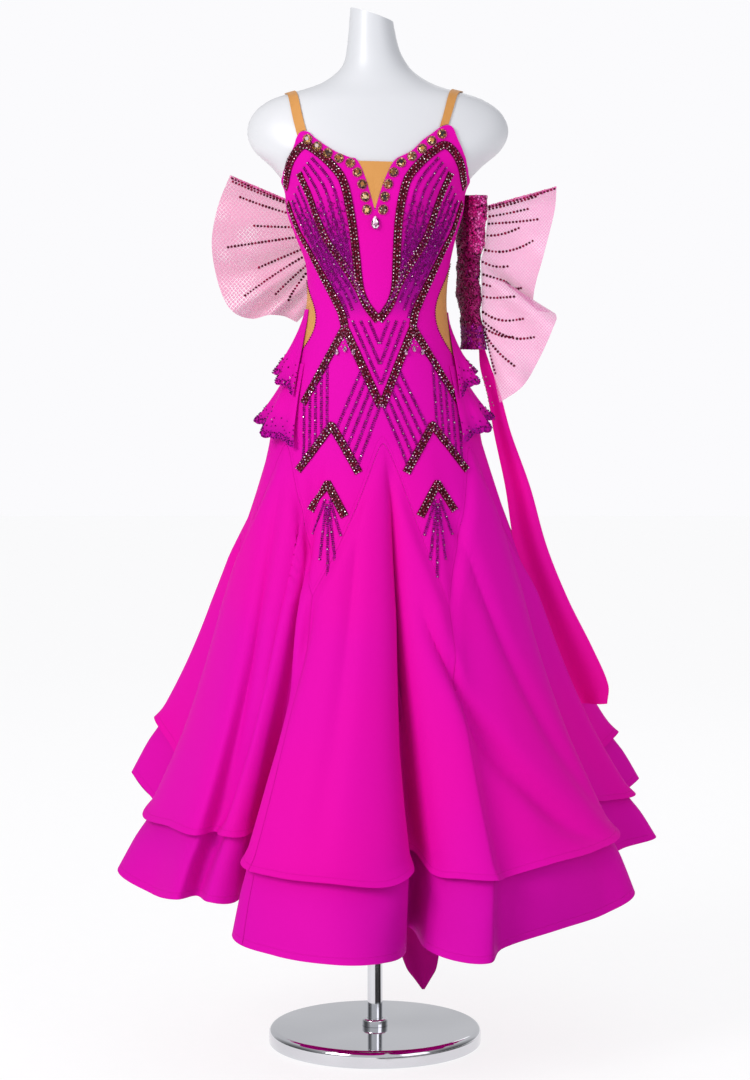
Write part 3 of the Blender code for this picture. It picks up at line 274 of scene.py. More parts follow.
def crepe_finish(name, warm, cool, stitched=True, tinted=False):
    """Crepe between two shades; stitched has a hem line and seam grooves darkened by painted shade, tinted
    shows sprayed dye.
    """
    constants = {"Roughness": 0.72, "Specular IOR Level": 0.06, "Sheen Weight": 0.03,
                 "Sheen Roughness": 0.5, "Sheen Tint": (1.0, 0.20, 0.70, 1)}
    material, shader, start = finish(name, constants)
    place = object_place(start)
    broad = noise(start, place, 3.2, 1.0).step(0.35, 0.65)
    tone = broad.blend(warm, cool)
    yarn = noise(start, place, YARNS, 1.5)
    crinkle = noise(start, place, CRINKLES, 2.0)
    tone = (yarn.step(0.30, 0.75) * 0.10).blend(tone, FUCHSIA_DEEP)
    height = yarn * 0.6 + crinkle * 0.4
    if stitched:
        hem, side = distance_to(start, "hem"), distance_to(start, "side")
        thread = 1 - (hem - STITCH_HIGH).size().step(*STITCH)
        groove = 1 - side.step(*SEAM_GROOVE)
        height = height - thread * 1.4 - groove * 1.0
        # the cloth in a seam's groove is darkened too: painted shade
        tone = (thread * 0.20 + groove * 0.16).blend(tone, FUCHSIA_DEEP)
    if tinted:
        tone = (distance_to(start, "violet") * 0.70).blend(tone, VIOLET_DYE)
    plug(tone, shader, "Base Color")
    plug(bumped(start, height, 0.00035, 0.55), shader, "Normal")
    return material


CREPE = crepe_finish("fuchsia_crepe", FUCHSIA, FUCHSIA_COOL)
BAND = crepe_finish("under_flounce_crepe", (0.67, 0.0015, 0.385, 1), (0.62, 0.0015, 0.385, 1))
print("crepe ready")

# %% [markdown]
# ## The two surfaces
# Every piece of the gown lies on one of two surfaces. The body surface wraps the form a few millimetres
# off it. The skirt surface leaves it at a ring below the hips and runs out to the folded hem. Both are
# functions of an angle round the body and a height, worked out for whole arrays of places at once.

# %% Sizes shared with the solids
CLOTH, NET, EASE = 0.0016, 0.0012, 0.0029
SEAT, SEAM = 0.0003, 0.00015
RING_Z = 0.993
LAYER_KICK, LAYER_LAP = 0.006, 0.012
BAND_SPREAD = np.array(((0.0, 0.0), (0.14, 0.02), (0.5, 0.48), (1.0, 1.0)))
# the display form: z, half_width, centre_x, front, back
FORM_SECTIONS = np.array((
    (1.674, 0.0345, -0.0050, 0.038, 0.034),
    (1.650, 0.0372, -0.0050, 0.040, 0.037),
    (1.620, 0.0426, -0.0030, 0.043, 0.045),
    (1.600, 0.0500, 0.0000, 0.046, 0.052),
    (1.585, 0.0615, 0.0010, 0.049, 0.057),
    (1.570, 0.0830, 0.0020, 0.053, 0.062),
    (1.560, 0.1070, 0.0020, 0.056, 0.066),
    (1.550, 0.1440, 0.0030, 0.060, 0.070),
    (1.540, 0.1720, 0.0030, 0.064, 0.074),
    (1.520, 0.1985, 0.0040, 0.070, 0.080),
    (1.490, 0.2100, 0.0045, 0.080, 0.087),
    (1.460, 0.1985, 0.0035, 0.090, 0.092),
    (1.430, 0.1660, 0.0020, 0.099, 0.094),
    (1.400, 0.1435, 0.0005, 0.104, 0.095),
    (1.360, 0.1375, 0.0000, 0.103, 0.093),
    (1.320, 0.1245, 0.0015, 0.096, 0.089),
    (1.280, 0.1125, 0.0045, 0.088, 0.083),
    (1.240, 0.1085, 0.0035, 0.083, 0.078),
    (1.200, 0.1100, 0.0020, 0.084, 0.080),
    (1.150, 0.1205, 0.0000, 0.089, 0.092),
    (1.100, 0.1355, -0.0005, 0.097, 0.107),
    (1.040, 0.1550, 0.0000, 0.103, 0.119),
    (0.993, 0.1670, 0.0010, 0.105, 0.121),
    (0.920, 0.1600, 0.0010, 0.101, 0.110),
    (0.860, 0.1480, 0.0010, 0.095, 0.097),
))
CUP_ANGLE, CUP_Z = 31.0, 1.385
CUP_DEPTH, CUP_SPREAD, CUP_TALL = 0.017, 17.0, 0.036
# the skirt's folds: angle, then x, y, z of the upper layer's hem, then x, y, z of the band's hem
HEM_STATIONS = np.array((
    (-101, -0.368, 0.170, 0.516, -0.414, 0.180, 0.418),
    (-91, -0.325, 0.080, 0.448, -0.339, 0.080, 0.330),
    (-80, -0.374, -0.020, 0.385, -0.420, -0.030, 0.296),
    (-70, -0.325, -0.120, 0.382, -0.357, -0.125, 0.273),
    (-62, -0.285, -0.170, 0.377, -0.315, -0.180, 0.275),
    (-54, -0.254, -0.150, 0.379, -0.284, -0.155, 0.276),
    (-46, -0.238, -0.205, 0.383, -0.262, -0.212, 0.278),
    (-38, -0.205, -0.205, 0.382, -0.222, -0.208, 0.276),
    (-33, -0.177, -0.156, 0.393, -0.190, -0.159, 0.290),
    (-29.5, -0.161, -0.172, 0.388, -0.173, -0.178, 0.282),
    (-24.5, -0.203, -0.272, 0.353, -0.221, -0.292, 0.243),
    (-18, -0.151, -0.335, 0.344, -0.152, -0.375, 0.230),
    (-10, -0.068, -0.370, 0.341, -0.058, -0.420, 0.226),
    (-3, 0.015, -0.355, 0.332, 0.010, -0.405, 0.225),
    (2, 0.055, -0.300, 0.343, 0.046, -0.340, 0.225),
    (5.5, 0.050, -0.218, 0.361, 0.048, -0.232, 0.240),
    (8.5, 0.066, -0.220, 0.358, 0.060, -0.236, 0.238),
    (12, 0.090, -0.278, 0.337, 0.076, -0.303, 0.226),
    (20, 0.132, -0.310, 0.336, 0.122, -0.345, 0.215),
    (29, 0.184, -0.315, 0.334, 0.176, -0.355, 0.214),
    (36, 0.203, -0.275, 0.332, 0.198, -0.290, 0.222),
    (45, 0.278, -0.235, 0.346, 0.287, -0.240, 0.240),
    (54, 0.344, -0.180, 0.354, 0.363, -0.185, 0.253),
    (63, 0.388, -0.110, 0.369, 0.416, -0.125, 0.276),
    (71, 0.344, -0.030, 0.403, 0.367, -0.035, 0.302),
    (78, 0.380, 0.010, 0.401, 0.407, 0.010, 0.320),
    (85, 0.427, 0.060, 0.404, 0.468, 0.065, 0.331),
    (93, 0.362, 0.120, 0.440, 0.382, 0.125, 0.350),
    (101, 0.410, 0.200, 0.487, 0.453, 0.215, 0.404),
    (112, 0.330, 0.235, 0.446, 0.352, 0.252, 0.346),
    (124, 0.318, 0.322, 0.424, 0.345, 0.352, 0.320),
    (136, 0.215, 0.285, 0.414, 0.228, 0.308, 0.308),
    (148, 0.185, 0.380, 0.400, 0.200, 0.420, 0.292),
    (160, 0.085, 0.315, 0.394, 0.090, 0.340, 0.286),
    (172, 0.030, 0.400, 0.388, 0.032, 0.442, 0.278),
    (184, -0.050, 0.320, 0.390, -0.054, 0.345, 0.282),
    (195, -0.120, 0.395, 0.392, -0.130, 0.435, 0.284),
    (207, -0.170, 0.305, 0.402, -0.182, 0.328, 0.294),
    (219, -0.262, 0.340, 0.414, -0.286, 0.372, 0.308),
    (232, -0.262, 0.245, 0.434, -0.280, 0.262, 0.330),
    (245, -0.345, 0.245, 0.462, -0.382, 0.262, 0.360),
))
HEM_LOOP = np.concatenate([HEM_STATIONS + np.array([turn] + [0] * 6) for turn in (-360, 0, 360)])
DRAPE_STRAIGHT = 0.75
print("fold stations:", len(HEM_STATIONS))


# %% Smooth tables and surfaces
def curve(rows, key, column):
    """Smooth value of a table's column at each key; the first column rises or falls steadily."""
    rows = rows if rows[0, 0] < rows[-1, 0] else rows[::-1]
    keys, values = rows[:, 0], rows[:, column]
    slopes = np.empty(len(rows))
    slopes[1:-1] = (values[2:] - values[:-2]) / (keys[2:] - keys[:-2])
    slopes[0] = (values[1] - values[0]) / (keys[1] - keys[0])
    slopes[-1] = (values[-1] - values[-2]) / (keys[-1] - keys[-2])
    low = np.clip(np.searchsorted(keys, key, side="left") - 1, 0, len(rows) - 2)
    span = keys[low + 1] - keys[low]
    share = (key - keys[low]) / span
    cube, square = share ** 3, share ** 2
    return ((2 * cube - 3 * square + 1) * values[low] + (cube - 2 * square + share) * span * slopes[low]
            + (3 * square - 2 * cube) * values[low + 1] + (cube - square) * span * slopes[low + 1])


def line(rows, key, column):
    rows = rows if rows[0, 0] < rows[-1, 0] else rows[::-1]
    return np.interp(key, rows[:, 0], rows[:, column])


def mix(a, b, share):
    return a + (b - a) * share


def points(x, y, z):
    return np.stack(np.broadcast_arrays(x, y, z), -1)


def unit(vectors):
    return vectors / np.maximum(np.linalg.norm(vectors, axis=-1, keepdims=True), 1e-12)


def form_at(angle, z):
    """Points on the display form's skin."""
    turn = np.radians(angle)
    depth = np.where(np.cos(turn) > 0, curve(FORM_SECTIONS, z, 3), curve(FORM_SECTIONS, z, 4))
    across = (np.abs((angle + 180) % 360 - 180) - CUP_ANGLE) / CUP_SPREAD
    cup = CUP_DEPTH * np.exp(-across ** 2 - ((z - CUP_Z) / CUP_TALL) ** 2)
    x = curve(FORM_SECTIONS, z, 2) + curve(FORM_SECTIONS, z, 1) * np.sin(turn)
    return points(x, -(depth + cup) * np.cos(turn), z)


HALF_TURN_STEP, HALF_RISE_STEP = 0.5, 0.002


def outward(surface, angle, z):
    """A surface's outward directions, from small steps along it."""
    along = surface(angle + HALF_TURN_STEP, z) - surface(angle - HALF_TURN_STEP, z)
    up = surface(angle, z + HALF_RISE_STEP) - surface(angle, z - HALF_RISE_STEP)
    return unit(np.cross(along, up))


def body_at(angle, z):
    """The outer face of the cloth that wraps the form."""
    out = outward(form_at, angle, z) * (1, 1, 0)
    return form_at(angle, z) + unit(out) * (EASE + CLOTH)


def hem_at(angle, first):
    return points(*[curve(HEM_LOOP, angle, first + axis) for axis in range(3)])


# long soft creases: angle at the hip, angle at the hem, z where it starts, half width in degrees, and how
# far it stands out, which is negative for a hollow
CREASES = np.array((
    (16.5, 55.5, 0.750, 3.2, -0.0200),
    (38.0, 64.0, 0.930, 2.6, -0.0080),
    (6.6, 6.8, 0.965, 3.6, -0.0190),
    (-8.0, -13.0, 0.940, 2.4, -0.0070),
    (-19.5, -32.5, 0.770, 3.0, -0.0150),
    (-38.0, -52.0, 0.930, 3.0, -0.0140),
    (66.0, 74.0, 0.900, 2.4, 0.0065),
    (112.0, 118.0, 0.900, 2.8, -0.0080),
    (141.0, 142.0, 0.880, 2.6, 0.0045),
    (173.0, 166.0, 0.920, 2.4, -0.0070),
    (204.0, 201.0, 0.900, 2.8, 0.0050),
    (238.0, 226.0, 0.930, 2.6, -0.0090),
    (262.0, 262.0, 0.890, 2.6, 0.0045),
))
CREASE_FOOT, CREASE_FADE_IN, CREASE_FADE_OUT = 0.36, 0.25, 0.12


def crease_lift(angle, z):
    """How far the cloth stands out at its long creases; they fade out at the hip and above the hem."""
    lift = 0
    for hip, foot, top, width, depth in CREASES:
        share = np.clip((top - z) / (top - CREASE_FOOT), 0, 1)
        away = (angle - mix(hip, foot, share) + 180) % 360 - 180
        fade = np.clip(share / CREASE_FADE_IN, 0, 1) * np.clip((1.0 - share) / CREASE_FADE_OUT, 0, 1)
        lift = lift + depth * fade * np.exp(-(away / width) ** 2)
    return lift


def dress_at(angle, z):
    """The dress's outer face: the body surface down to the ring, then the skirt's upper layer."""
    ring = body_at(angle, np.maximum(z, RING_Z))
    hem = hem_at(angle, 1)
    share = np.clip((RING_Z - z) / (RING_Z - hem[..., 2]), 0, 1.2)
    flare = (DRAPE_STRAIGHT * share + (1 - DRAPE_STRAIGHT) * share ** 3)[..., None]
    skirt = mix(ring, hem, flare)
    radial = unit(skirt * (1, 1, 0))
    skirt = skirt + radial * (crease_lift(angle, z) * (share > 0))[..., None]
    return np.concatenate([skirt[..., :2], np.broadcast_to(z, skirt.shape[:-1])[..., None]], -1)


def seam_shift(angle, z, sign):
    """An angle moved by half a seam gap along the dress, or by as many halves as sign says."""
    step = dress_at(angle + HALF_TURN_STEP, z) - dress_at(angle - HALF_TURN_STEP, z)
    return angle + sign * SEAM / np.linalg.norm(step, axis=-1)


WAIST_Z = 1.24
waist = body_at(np.array([-90.0, 90.0]), np.array([WAIST_Z, WAIST_Z]))
print("waist width:", round(float(np.ptp(waist[:, 0])), 3))

# %% [markdown]
# ## From places to walls
# A cloth piece starts as a grid of places, each an angle and a height. The surface turns them into points,
# and a second skin one cloth thickness further in closes them into a wall. The wall also stores how far
# each point is from its hem and from its side seams, so that stitching can follow the cut.

# %% Walls of cloth
CLOTH_EDGE = math.radians(55)
WIDE_GRID, LEAST_AREA_SHARE = 40, 0.32


def measures(grid):
    """Distances along a grid's rows and down its columns, in metres."""
    across = np.linalg.norm(np.diff(grid, axis=1), axis=-1)
    down = np.linalg.norm(np.diff(grid, axis=0), axis=-1)
    u = np.concatenate([np.zeros((len(grid), 1)), np.cumsum(across, axis=1)], 1)
    v = np.concatenate([np.zeros((1, grid.shape[1])), np.cumsum(down, axis=0)], 0)
    return u, v


def store(mesh, key, values):
    """Stores one number for each point of a wall's outer grid, on both of its skins."""
    layer = mesh.attributes.new(key, "FLOAT", "POINT")
    layer.data.foreach_set("value", np.concatenate([values.ravel()] * 2).astype(np.float32))


def wall(name, outer, inner, material, closed=False):
    """A closed wall between two matching grids, first row at the top, with its own measures stored."""
    rows, columns = outer.shape[:2]
    count = rows * columns
    index = np.arange(count).reshape(rows, columns)
    spans = columns if closed else columns - 1
    here, there = index[:, :spans], np.roll(index, -1, axis=1)[:, :spans]
    skin = np.stack([here[:-1], there[:-1], there[1:], here[1:]], -1).reshape(-1, 4)
    rims = [(there[0], here[0]), (here[-1], there[-1])]
    if not closed:
        rims += [(index[:-1, 0], index[1:, 0]), (index[1:, -1], index[:-1, -1])]
    faces = [skin, skin[:, ::-1] + count]
    faces += [np.stack([start, end, end + count, start + count], -1) for start, end in rims]
    faces = np.concatenate(faces)
    both = np.concatenate([outer.reshape(-1, 3), inner.reshape(-1, 3)])
    middle = skin[(rows - 1) // 2 * spans + spans // 2]
    p = both[middle]
    normal = np.cross(p[2] - p[0], p[3] - p[1])
    if normal @ (both[middle[0]] - both[middle[0] + count]) < 0:
        faces = faces[:, ::-1]
    mesh = bpy.data.meshes.new(name)
    mesh.from_pydata(both.tolist(), [], faces.tolist())
    u, v = measures(outer)
    store(mesh, "hem", v[-1:] - v)
    store(mesh, "side", np.full_like(u, 1.0) if closed else np.minimum(u, u[:, -1:] - u))
    corner = np.empty(len(mesh.loops), int)
    mesh.loops.foreach_get("vertex_index", corner)
    uv = np.stack([u.ravel(), -v.ravel()], -1)[corner % count]
    mesh.uv_layers.new(name="cut").data.foreach_set("uv", uv.astype(np.float32).ravel())
    mesh.shade_smooth()
    mesh.set_sharp_from_angle(angle=CLOTH_EDGE)
    mesh.materials.append(material)
    return placed(mesh)


def placed(mesh):
    """An object of a mesh's own name, at the origin of the scene."""
    piece = bpy.data.objects.new(mesh.name, mesh)
    scene.collection.objects.link(piece)
    return piece


def seat(piece, slot, *nodes):
    """The piece takes the place of its solids and rides with the gown."""
    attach(piece, "root")
    if nodes:
        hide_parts(*nodes)
    return piece


def skins(angle, z, thickness):
    """The outer and inner faces of cloth on the dress surface."""
    outer = dress_at(angle, z)
    return outer, outer - outward(dress_at, angle, z) * thickness


def declare(piece, outer, held):
    """Works out a level copy of a piece's grid, unless the piece is stretched and narrow, and the cross
    products of its cells; it keeps neither.
    """
    across = outer if held == "stretched" and outer.shape[1] <= WIDE_GRID else outer * (1, 1, 0)
    crossed = np.cross(outer[1:, 1:] - outer[:-1, :-1], outer[1:, :-1] - outer[:-1, 1:])


# %% [markdown]
# ## The display form and its stand
# The form is lacquered fibreglass, a soft white gloss, with a slanted cut at the neck. It is a stack of
# level rings, so a fine grid of the form surface gives it directly. The stand is turned metal: each part is
# a profile spun round the pole's axis, and the plate, collar and flange have rounded edges that catch the
# light.

# %% Turned parts and their finishes
BODY_EDGE = math.radians(32)


def skin_mesh(name, rings, material, caps=True):
    """A closed body from rings of points, top ring first, with flat caps or joined end to end."""
    rows, columns = rings.shape[:2]
    index = np.arange(rows * columns).reshape(rows, columns)
    across = np.roll(index, -1, axis=1)
    faces = np.stack([index[:-1], index[1:], across[1:], across[:-1]], -1).reshape(-1, 4).tolist()
    if caps:
        faces += [index[0].tolist(), index[-1][::-1].tolist()]
    else:
        faces += np.stack([index[-1], index[0], across[0], across[-1]], -1).tolist()
    mesh = bpy.data.meshes.new(name)
    mesh.from_pydata(rings.reshape(-1, 3).tolist(), [], faces)
    mesh.materials.append(material)
    shape = bmesh.new()
    shape.from_mesh(mesh)
    bmesh.ops.recalc_face_normals(shape, faces=shape.faces)
    shape.to_mesh(mesh)
    shape.free()
    mesh.shade_smooth()
    mesh.set_sharp_from_angle(angle=BODY_EDGE)
    return placed(mesh)


def spun(name, profile, material, steps=96, caps=True):
    """A body from a profile of radius and height, spun round the pole's axis."""
    profile = np.array(profile)
    turn = np.linspace(0, 2 * np.pi, steps, endpoint=False)
    radius = profile[:, 0, None]
    rings = points(radius * np.cos(turn), radius * np.sin(turn), profile[:, 1, None])
    return skin_mesh(name, rings, material, caps)


def rounded(centre_r, centre_z, radius, first, last, steps=8):
    """Points of a round edge, from one angle to another, in degrees above level."""
    turn = np.radians(np.linspace(first, last, steps))
    return list(zip(centre_r + radius * np.cos(turn), centre_z + radius * np.sin(turn)))


def lacquer_finish():
    constants = {"Roughness": 0.42, "Coat Weight": 0.16, "Coat Roughness": 0.22}
    material, shader, start = finish("white_lacquer", constants)
    place = object_place(start)
    broad = noise(start, place, 2.1, 1.0).step(0.35, 0.65)
    plug(broad.blend((0.72, 0.73, 0.755, 1), (0.66, 0.68, 0.71, 1)), shader, "Base Color")
    plug(bumped(start, noise(start, place, 260.0, 1.0), 0.0001, 0.10), shader, "Normal")
    return material


def chrome_finish():
    material, shader, start = finish("polished_chrome", {"Metallic": 1.0})
    place = object_place(start)
    broad = noise(start, place, 5.0).step(0.3, 0.7)
    plug(broad.blend((0.66, 0.67, 0.70, 1), (0.74, 0.75, 0.78, 1)), shader, "Base Color")
    smear = noise(start, place, 40.0, 3.0)
    plug(smear.step(0.45, 0.8) * 0.10 + 0.05, shader, "Roughness")
    plug(bumped(start, smear, 0.0001, 0.05), shader, "Normal")
    return material


LACQUER, CHROME = lacquer_finish(), chrome_finish()
print("finishes:", LACQUER.name, CHROME.name)

# %% Form and stand
BASE_RADIUS, BASE_HEIGHT, BASE_ROUND, FOOT_ROUND = 0.175, 0.028, 0.010, 0.004
POLE_RADIUS, FLANGE_RADIUS, FLANGE_HEIGHT, FORM_BOTTOM = 0.0125, 0.050, 0.008, 0.860
COLLAR_RADIUS, COLLAR_HEIGHT, COLLAR_ROUND, EDGE = 0.021, 0.012, 0.003, 0.0012
NECK_SLOPE, NECK_FROM = -0.33, 1.650
FORM_RINGS, FORM_SPOKES = 190, 144
AXIS = 1e-4

base = [(AXIS, BASE_HEIGHT)]
base += rounded(BASE_RADIUS - BASE_ROUND, BASE_HEIGHT - BASE_ROUND, BASE_ROUND, 90, 0, 12)
base += rounded(BASE_RADIUS - FOOT_ROUND, FOOT_ROUND, FOOT_ROUND, 0, -90, 6) + [(AXIS, 0)]
pole_low, pole_high = BASE_HEIGHT + SEAT, FORM_BOTTOM - FLANGE_HEIGHT - 2 * SEAT
pole = [(AXIS, pole_high), (POLE_RADIUS, pole_high), (POLE_RADIUS, pole_low), (AXIS, pole_low)]
hole, collar_top = POLE_RADIUS + SEAT, pole_low + COLLAR_HEIGHT
collar = [(hole, collar_top)]
collar += rounded(COLLAR_RADIUS - COLLAR_ROUND, collar_top - COLLAR_ROUND, COLLAR_ROUND, 90, 0)
collar += [(COLLAR_RADIUS, pole_low), (hole, pole_low)]
over, under = FORM_BOTTOM - SEAT, FORM_BOTTOM - FLANGE_HEIGHT - SEAT
flange = [(AXIS, over)] + rounded(FLANGE_RADIUS - EDGE, over - EDGE, EDGE, 90, 0, 4)
flange += rounded(FLANGE_RADIUS - EDGE, under + EDGE, EDGE, 0, -90, 4) + [(AXIS, under)]
seat(spun("foot_plate", base, CHROME, 160), "chrome", "stand_base")
seat(spun("pole_tube", pole, CHROME, 64), "chrome", "stand_pole")
seat(spun("pole_collar", collar, CHROME, 64, caps=False), "chrome", "stand_collar")
seat(spun("under_flange", flange, CHROME, 96), "chrome", "form_flange")

FORM_PIECE = "form_body"
heights = np.linspace(FORM_SECTIONS[0, 0], FORM_SECTIONS[-1, 0], FORM_RINGS)[:, None]
rings = form_at(np.linspace(0, 360, FORM_SPOKES, endpoint=False)[None, :], heights)
slant = np.clip((rings[..., 2] - NECK_FROM) / (FORM_SECTIONS[0, 0] - NECK_FROM), 0, 1)
rings[..., 2] += NECK_SLOPE * rings[..., 0] * slant
form_body = seat(skin_mesh(FORM_PIECE, rings, LACQUER), "form_gloss", "dress_form")
print("form:", len(form_body.data.polygons), "faces; foot plate", 2 * BASE_RADIUS, "m wide")

# %% [markdown]
# ## Godet seams
# Six godets flare the skirt. A godet is a wedge let into a slit. Its seam starts at a rounded apex near
# the hip and runs down to the point where the next panel ends. Bodice and godets share these seam curves.

# %% Seam curves
# name, angle and height of the apex, then of the panel tips on each side
GODETS = {
    "front": (4.0, 0.993, -22.0, 0.755, 30.0, 0.739),
    "front_right": (60.0, 0.985, 30.0, 0.739, 90.0, 0.745),
    "back_right": (120.0, 0.985, 90.0, 0.745, 150.0, 0.740),
    "back": (180.0, 0.985, 150.0, 0.740, 210.0, 0.740),
    "back_left": (240.0, 0.985, 210.0, 0.740, 270.0, 0.745),
    "front_left": (-57.0, 0.990, -90.0, 0.745, -22.0, 0.755),
}
SEAM_BOW = 0.4
SEAM_FINE = 24


def seam(apex, apex_z, tip, tip_z, root):
    """Angle and height on a godet seam; root runs from 0 at the apex to 1 at the tip."""
    wide = (1 - SEAM_BOW) * root ** 2 + SEAM_BOW * root
    return mix(apex, tip, wide), mix(apex_z, tip_z, root ** 2)


def seam_run(name, side, downwards=True):
    """A godet's seam on one side, as a row of fine steps."""
    apex, apex_z, left, left_z, right, right_z = GODETS[name]
    tip, tip_z = (left, left_z) if side == "left" else (right, right_z)
    root = np.linspace(0, 1, SEAM_FINE + 1)
    angle, z = seam(apex, apex_z, tip, tip_z, root)
    return (angle, z) if downwards else (angle[::-1], z[::-1])


def joined(*runs):
    """Seam runs end to end, without the repeated points where they meet."""
    angle = np.concatenate([run[0][(1 if k else 0):] for k, run in enumerate(runs)])
    z = np.concatenate([run[1][(1 if k else 0):] for k, run in enumerate(runs)])
    return angle, z


ZIGZAG = {
    "right": joined(seam_run("front", "right"), seam_run("front_right", "left", False),
                    seam_run("front_right", "right")),
    "left": joined(seam_run("front", "left"), seam_run("front_left", "right", False),
                   seam_run("front_left", "left")),
    "back": joined(*[run for name in ("back_right", "back", "back_left")
                     for run in (seam_run(name, "left", False), seam_run(name, "right"))]),
}
print("steps along the back's lower edge:", len(ZIGZAG["back"][0]))

# %% [markdown]
# ## The bodice
# Front and back are one length from the neckline to the points between the godets, with no waist seam. The
# rows of the grid are level round the hips and fan out to the neckline above and to the zigzag of the
# godet seams below. Beside the waist both are drawn back from the side seam for a lens of tan mesh.

# %% Bodice front and back
# column counted from the middle, angle round the body, height
NECK_RIGHT = np.array((
    (0, 0.0, 1.3600), (1, 4.2, 1.3960), (2, 8.7, 1.4370), (3, 12.0, 1.4464), (4, 16.0, 1.4543),
    (5, 20.0, 1.4715), (6, 23.9, 1.4825), (7, 28.4, 1.4934), (8, 33.4, 1.4950), (9, 37.4, 1.4746),
    (10, 43.6, 1.4558), (11, 50.0, 1.4440), (12, 57.0, 1.4330), (14, 69.0, 1.4180), (18, 90.0, 1.4050),
))
NECK_LEFT = np.array((
    (0, 0.0, 1.3600), (1, -4.4, 1.3970), (2, -9.6, 1.4386), (3, -13.0, 1.4440), (4, -17.5, 1.4500),
    (5, -21.9, 1.4590), (6, -28.4, 1.4762), (7, -31.5, 1.4856), (8, -36.0, 1.4840), (9, -41.0, 1.4620),
    (10, -48.0, 1.4450), (11, -54.0, 1.4365), (12, -60.0, 1.4290), (14, -71.0, 1.4165), (18, -90.0, 1.4050),
))
BACK_EDGE = np.array((
    (90, 1.4050), (105, 1.3950), (125, 1.3300), (145, 1.2500), (162, 1.2050), (180, 1.1900),
    (198, 1.2050), (215, 1.2500), (235, 1.3300), (255, 1.3950), (270, 1.4050),
))
SIDE_TOP, HIP_LINE, SIDE_TIP = 1.405, 1.050, 0.745
INSERT_TOP = {"left": 1.255, "right": 1.282}
INSERT_LOW = 1.105
REACH_FRONT, REACH_BACK, INSERT_NEAR = 34.0, 12.0, 45.0
SIDE_ROWS = np.concatenate([np.linspace(SIDE_TOP, HIP_LINE, 46), np.linspace(HIP_LINE, SIDE_TIP, 38)[1:]])


def side_edge(reach, side, z):
    """How far the cloth's side edge stands back from the side seam, in degrees."""
    share = np.clip((INSERT_TOP[side] - z) / (INSERT_TOP[side] - INSERT_LOW), 0, 1)
    return reach * np.sin(np.pi * share)


def row_heights(top, low, side_z):
    """Heights of the rows: level at the hip line, stretched to the top edge and to the lower edge."""
    upper = mix(top, HIP_LINE, (SIDE_TOP - side_z) / (SIDE_TOP - HIP_LINE))
    lower = mix(HIP_LINE, low, (HIP_LINE - side_z) / (HIP_LINE - SIDE_TIP))
    return np.where(side_z >= HIP_LINE, upper, lower)


def edge_turn(z):
    """Which way each lower-edge point moves to stay clear of the godet beside it."""
    before, after = np.roll(z, 1), np.roll(z, -1)
    turn = np.where(after < before, -1, 1)
    turn[(before - z) * (after - z) > 0] = 0
    turn[[0, -1]] = 0
    return turn


def bodice_places(tops, lows, reach, front):
    """The grid of places from the top edge to the zigzag edge, drawn back from the side inserts."""
    side_z = SIDE_ROWS[:, None]
    z = row_heights(tops[1], lows[1] + SEAM, side_z)
    share = (SIDE_TOP - side_z) / (SIDE_TOP - SIDE_TIP)
    angle = mix(tops[0], lows[0], share)
    angle[-1] = seam_shift(angle[-1], z[-1], -edge_turn(lows[1]))
    near_x = np.where(angle > 180, angle - 360, angle)
    away = np.abs(np.abs(near_x) - 90)
    back = np.where(near_x < 0, side_edge(reach, "left", side_z), side_edge(reach, "right", side_z))
    sign = 1 if front else -1
    pull = sign * np.sign(near_x) * back * np.clip(1 - away / INSERT_NEAR, 0, 1)
    angle = angle - pull
    angle[:, 0] = seam_shift(angle[:, 0], z[:, 0], 1)
    angle[:, -1] = seam_shift(angle[:, -1], z[:, -1], -1)
    return angle, z


def neck(rows, zigzag):
    """Angle and height of the neckline above each step of the lower edge."""
    column = np.linspace(0, rows[-1, 0], len(zigzag[0]))
    return curve(rows, column, 1), curve(rows, column, 2)


neck_right, neck_left = neck(NECK_RIGHT, ZIGZAG["right"]), neck(NECK_LEFT, ZIGZAG["left"])
front_top = [np.concatenate([left[:0:-1], right]) for left, right in zip(neck_left, neck_right)]
front_low = [np.concatenate([left[:0:-1], right]) for left, right in zip(ZIGZAG["left"], ZIGZAG["right"])]
front_angle, front_z = bodice_places(front_top, front_low, REACH_FRONT, True)
back_low = ZIGZAG["back"]
back_top = (back_low[0], curve(BACK_EDGE, back_low[0], 1))
back_angle, back_z = bodice_places(back_top, back_low, REACH_BACK, False)
print("bodice grid:", front_angle.shape, back_angle.shape)


def cloth(name, angle, z, thickness, material, slot, nodes, held):
    """Cuts and places one piece of cloth that lies on the dress surface."""
    outer, inner = skins(angle, z, thickness)
    piece = seat(wall(name, outer, inner, material), slot, *nodes)
    declare(piece, outer, held)
    return piece


BEADED_CREPE = crepe_finish("beaded_crepe", FUCHSIA, FUCHSIA_COOL, stitched=True, tinted=True)
FRONT = cloth("front_panel", front_angle, front_z, CLOTH, BEADED_CREPE, "beaded", ["bodice_front"],
              "stretched")
FRONT_OUTER = skins(front_angle, front_z, CLOTH)[0]
cloth("back_panel", back_angle, back_z, CLOTH, CREPE, "crepe", ["bodice_back"], "stretched")

# %% [markdown]
# ## Tan mesh
# The V of the neckline and the lenses at the waist are skin-toned power mesh, stretched and nearly matte,
# with a knit of tiny holes too fine to cut. A pair of crossed sines gives the knit, as bump and as a slight
# darkening. The mesh lies between the bodice pieces on the same surface, a little more than a seam gap
# away from them.

# %% Tan mesh and its finish
TAN, TAN_WORN, TAN_DARK = (0.66, 0.30, 0.065, 1), (0.60, 0.26, 0.052, 1), (0.47, 0.19, 0.035, 1)
MESH_CLOTH, KNIT = 0.0010, 4200


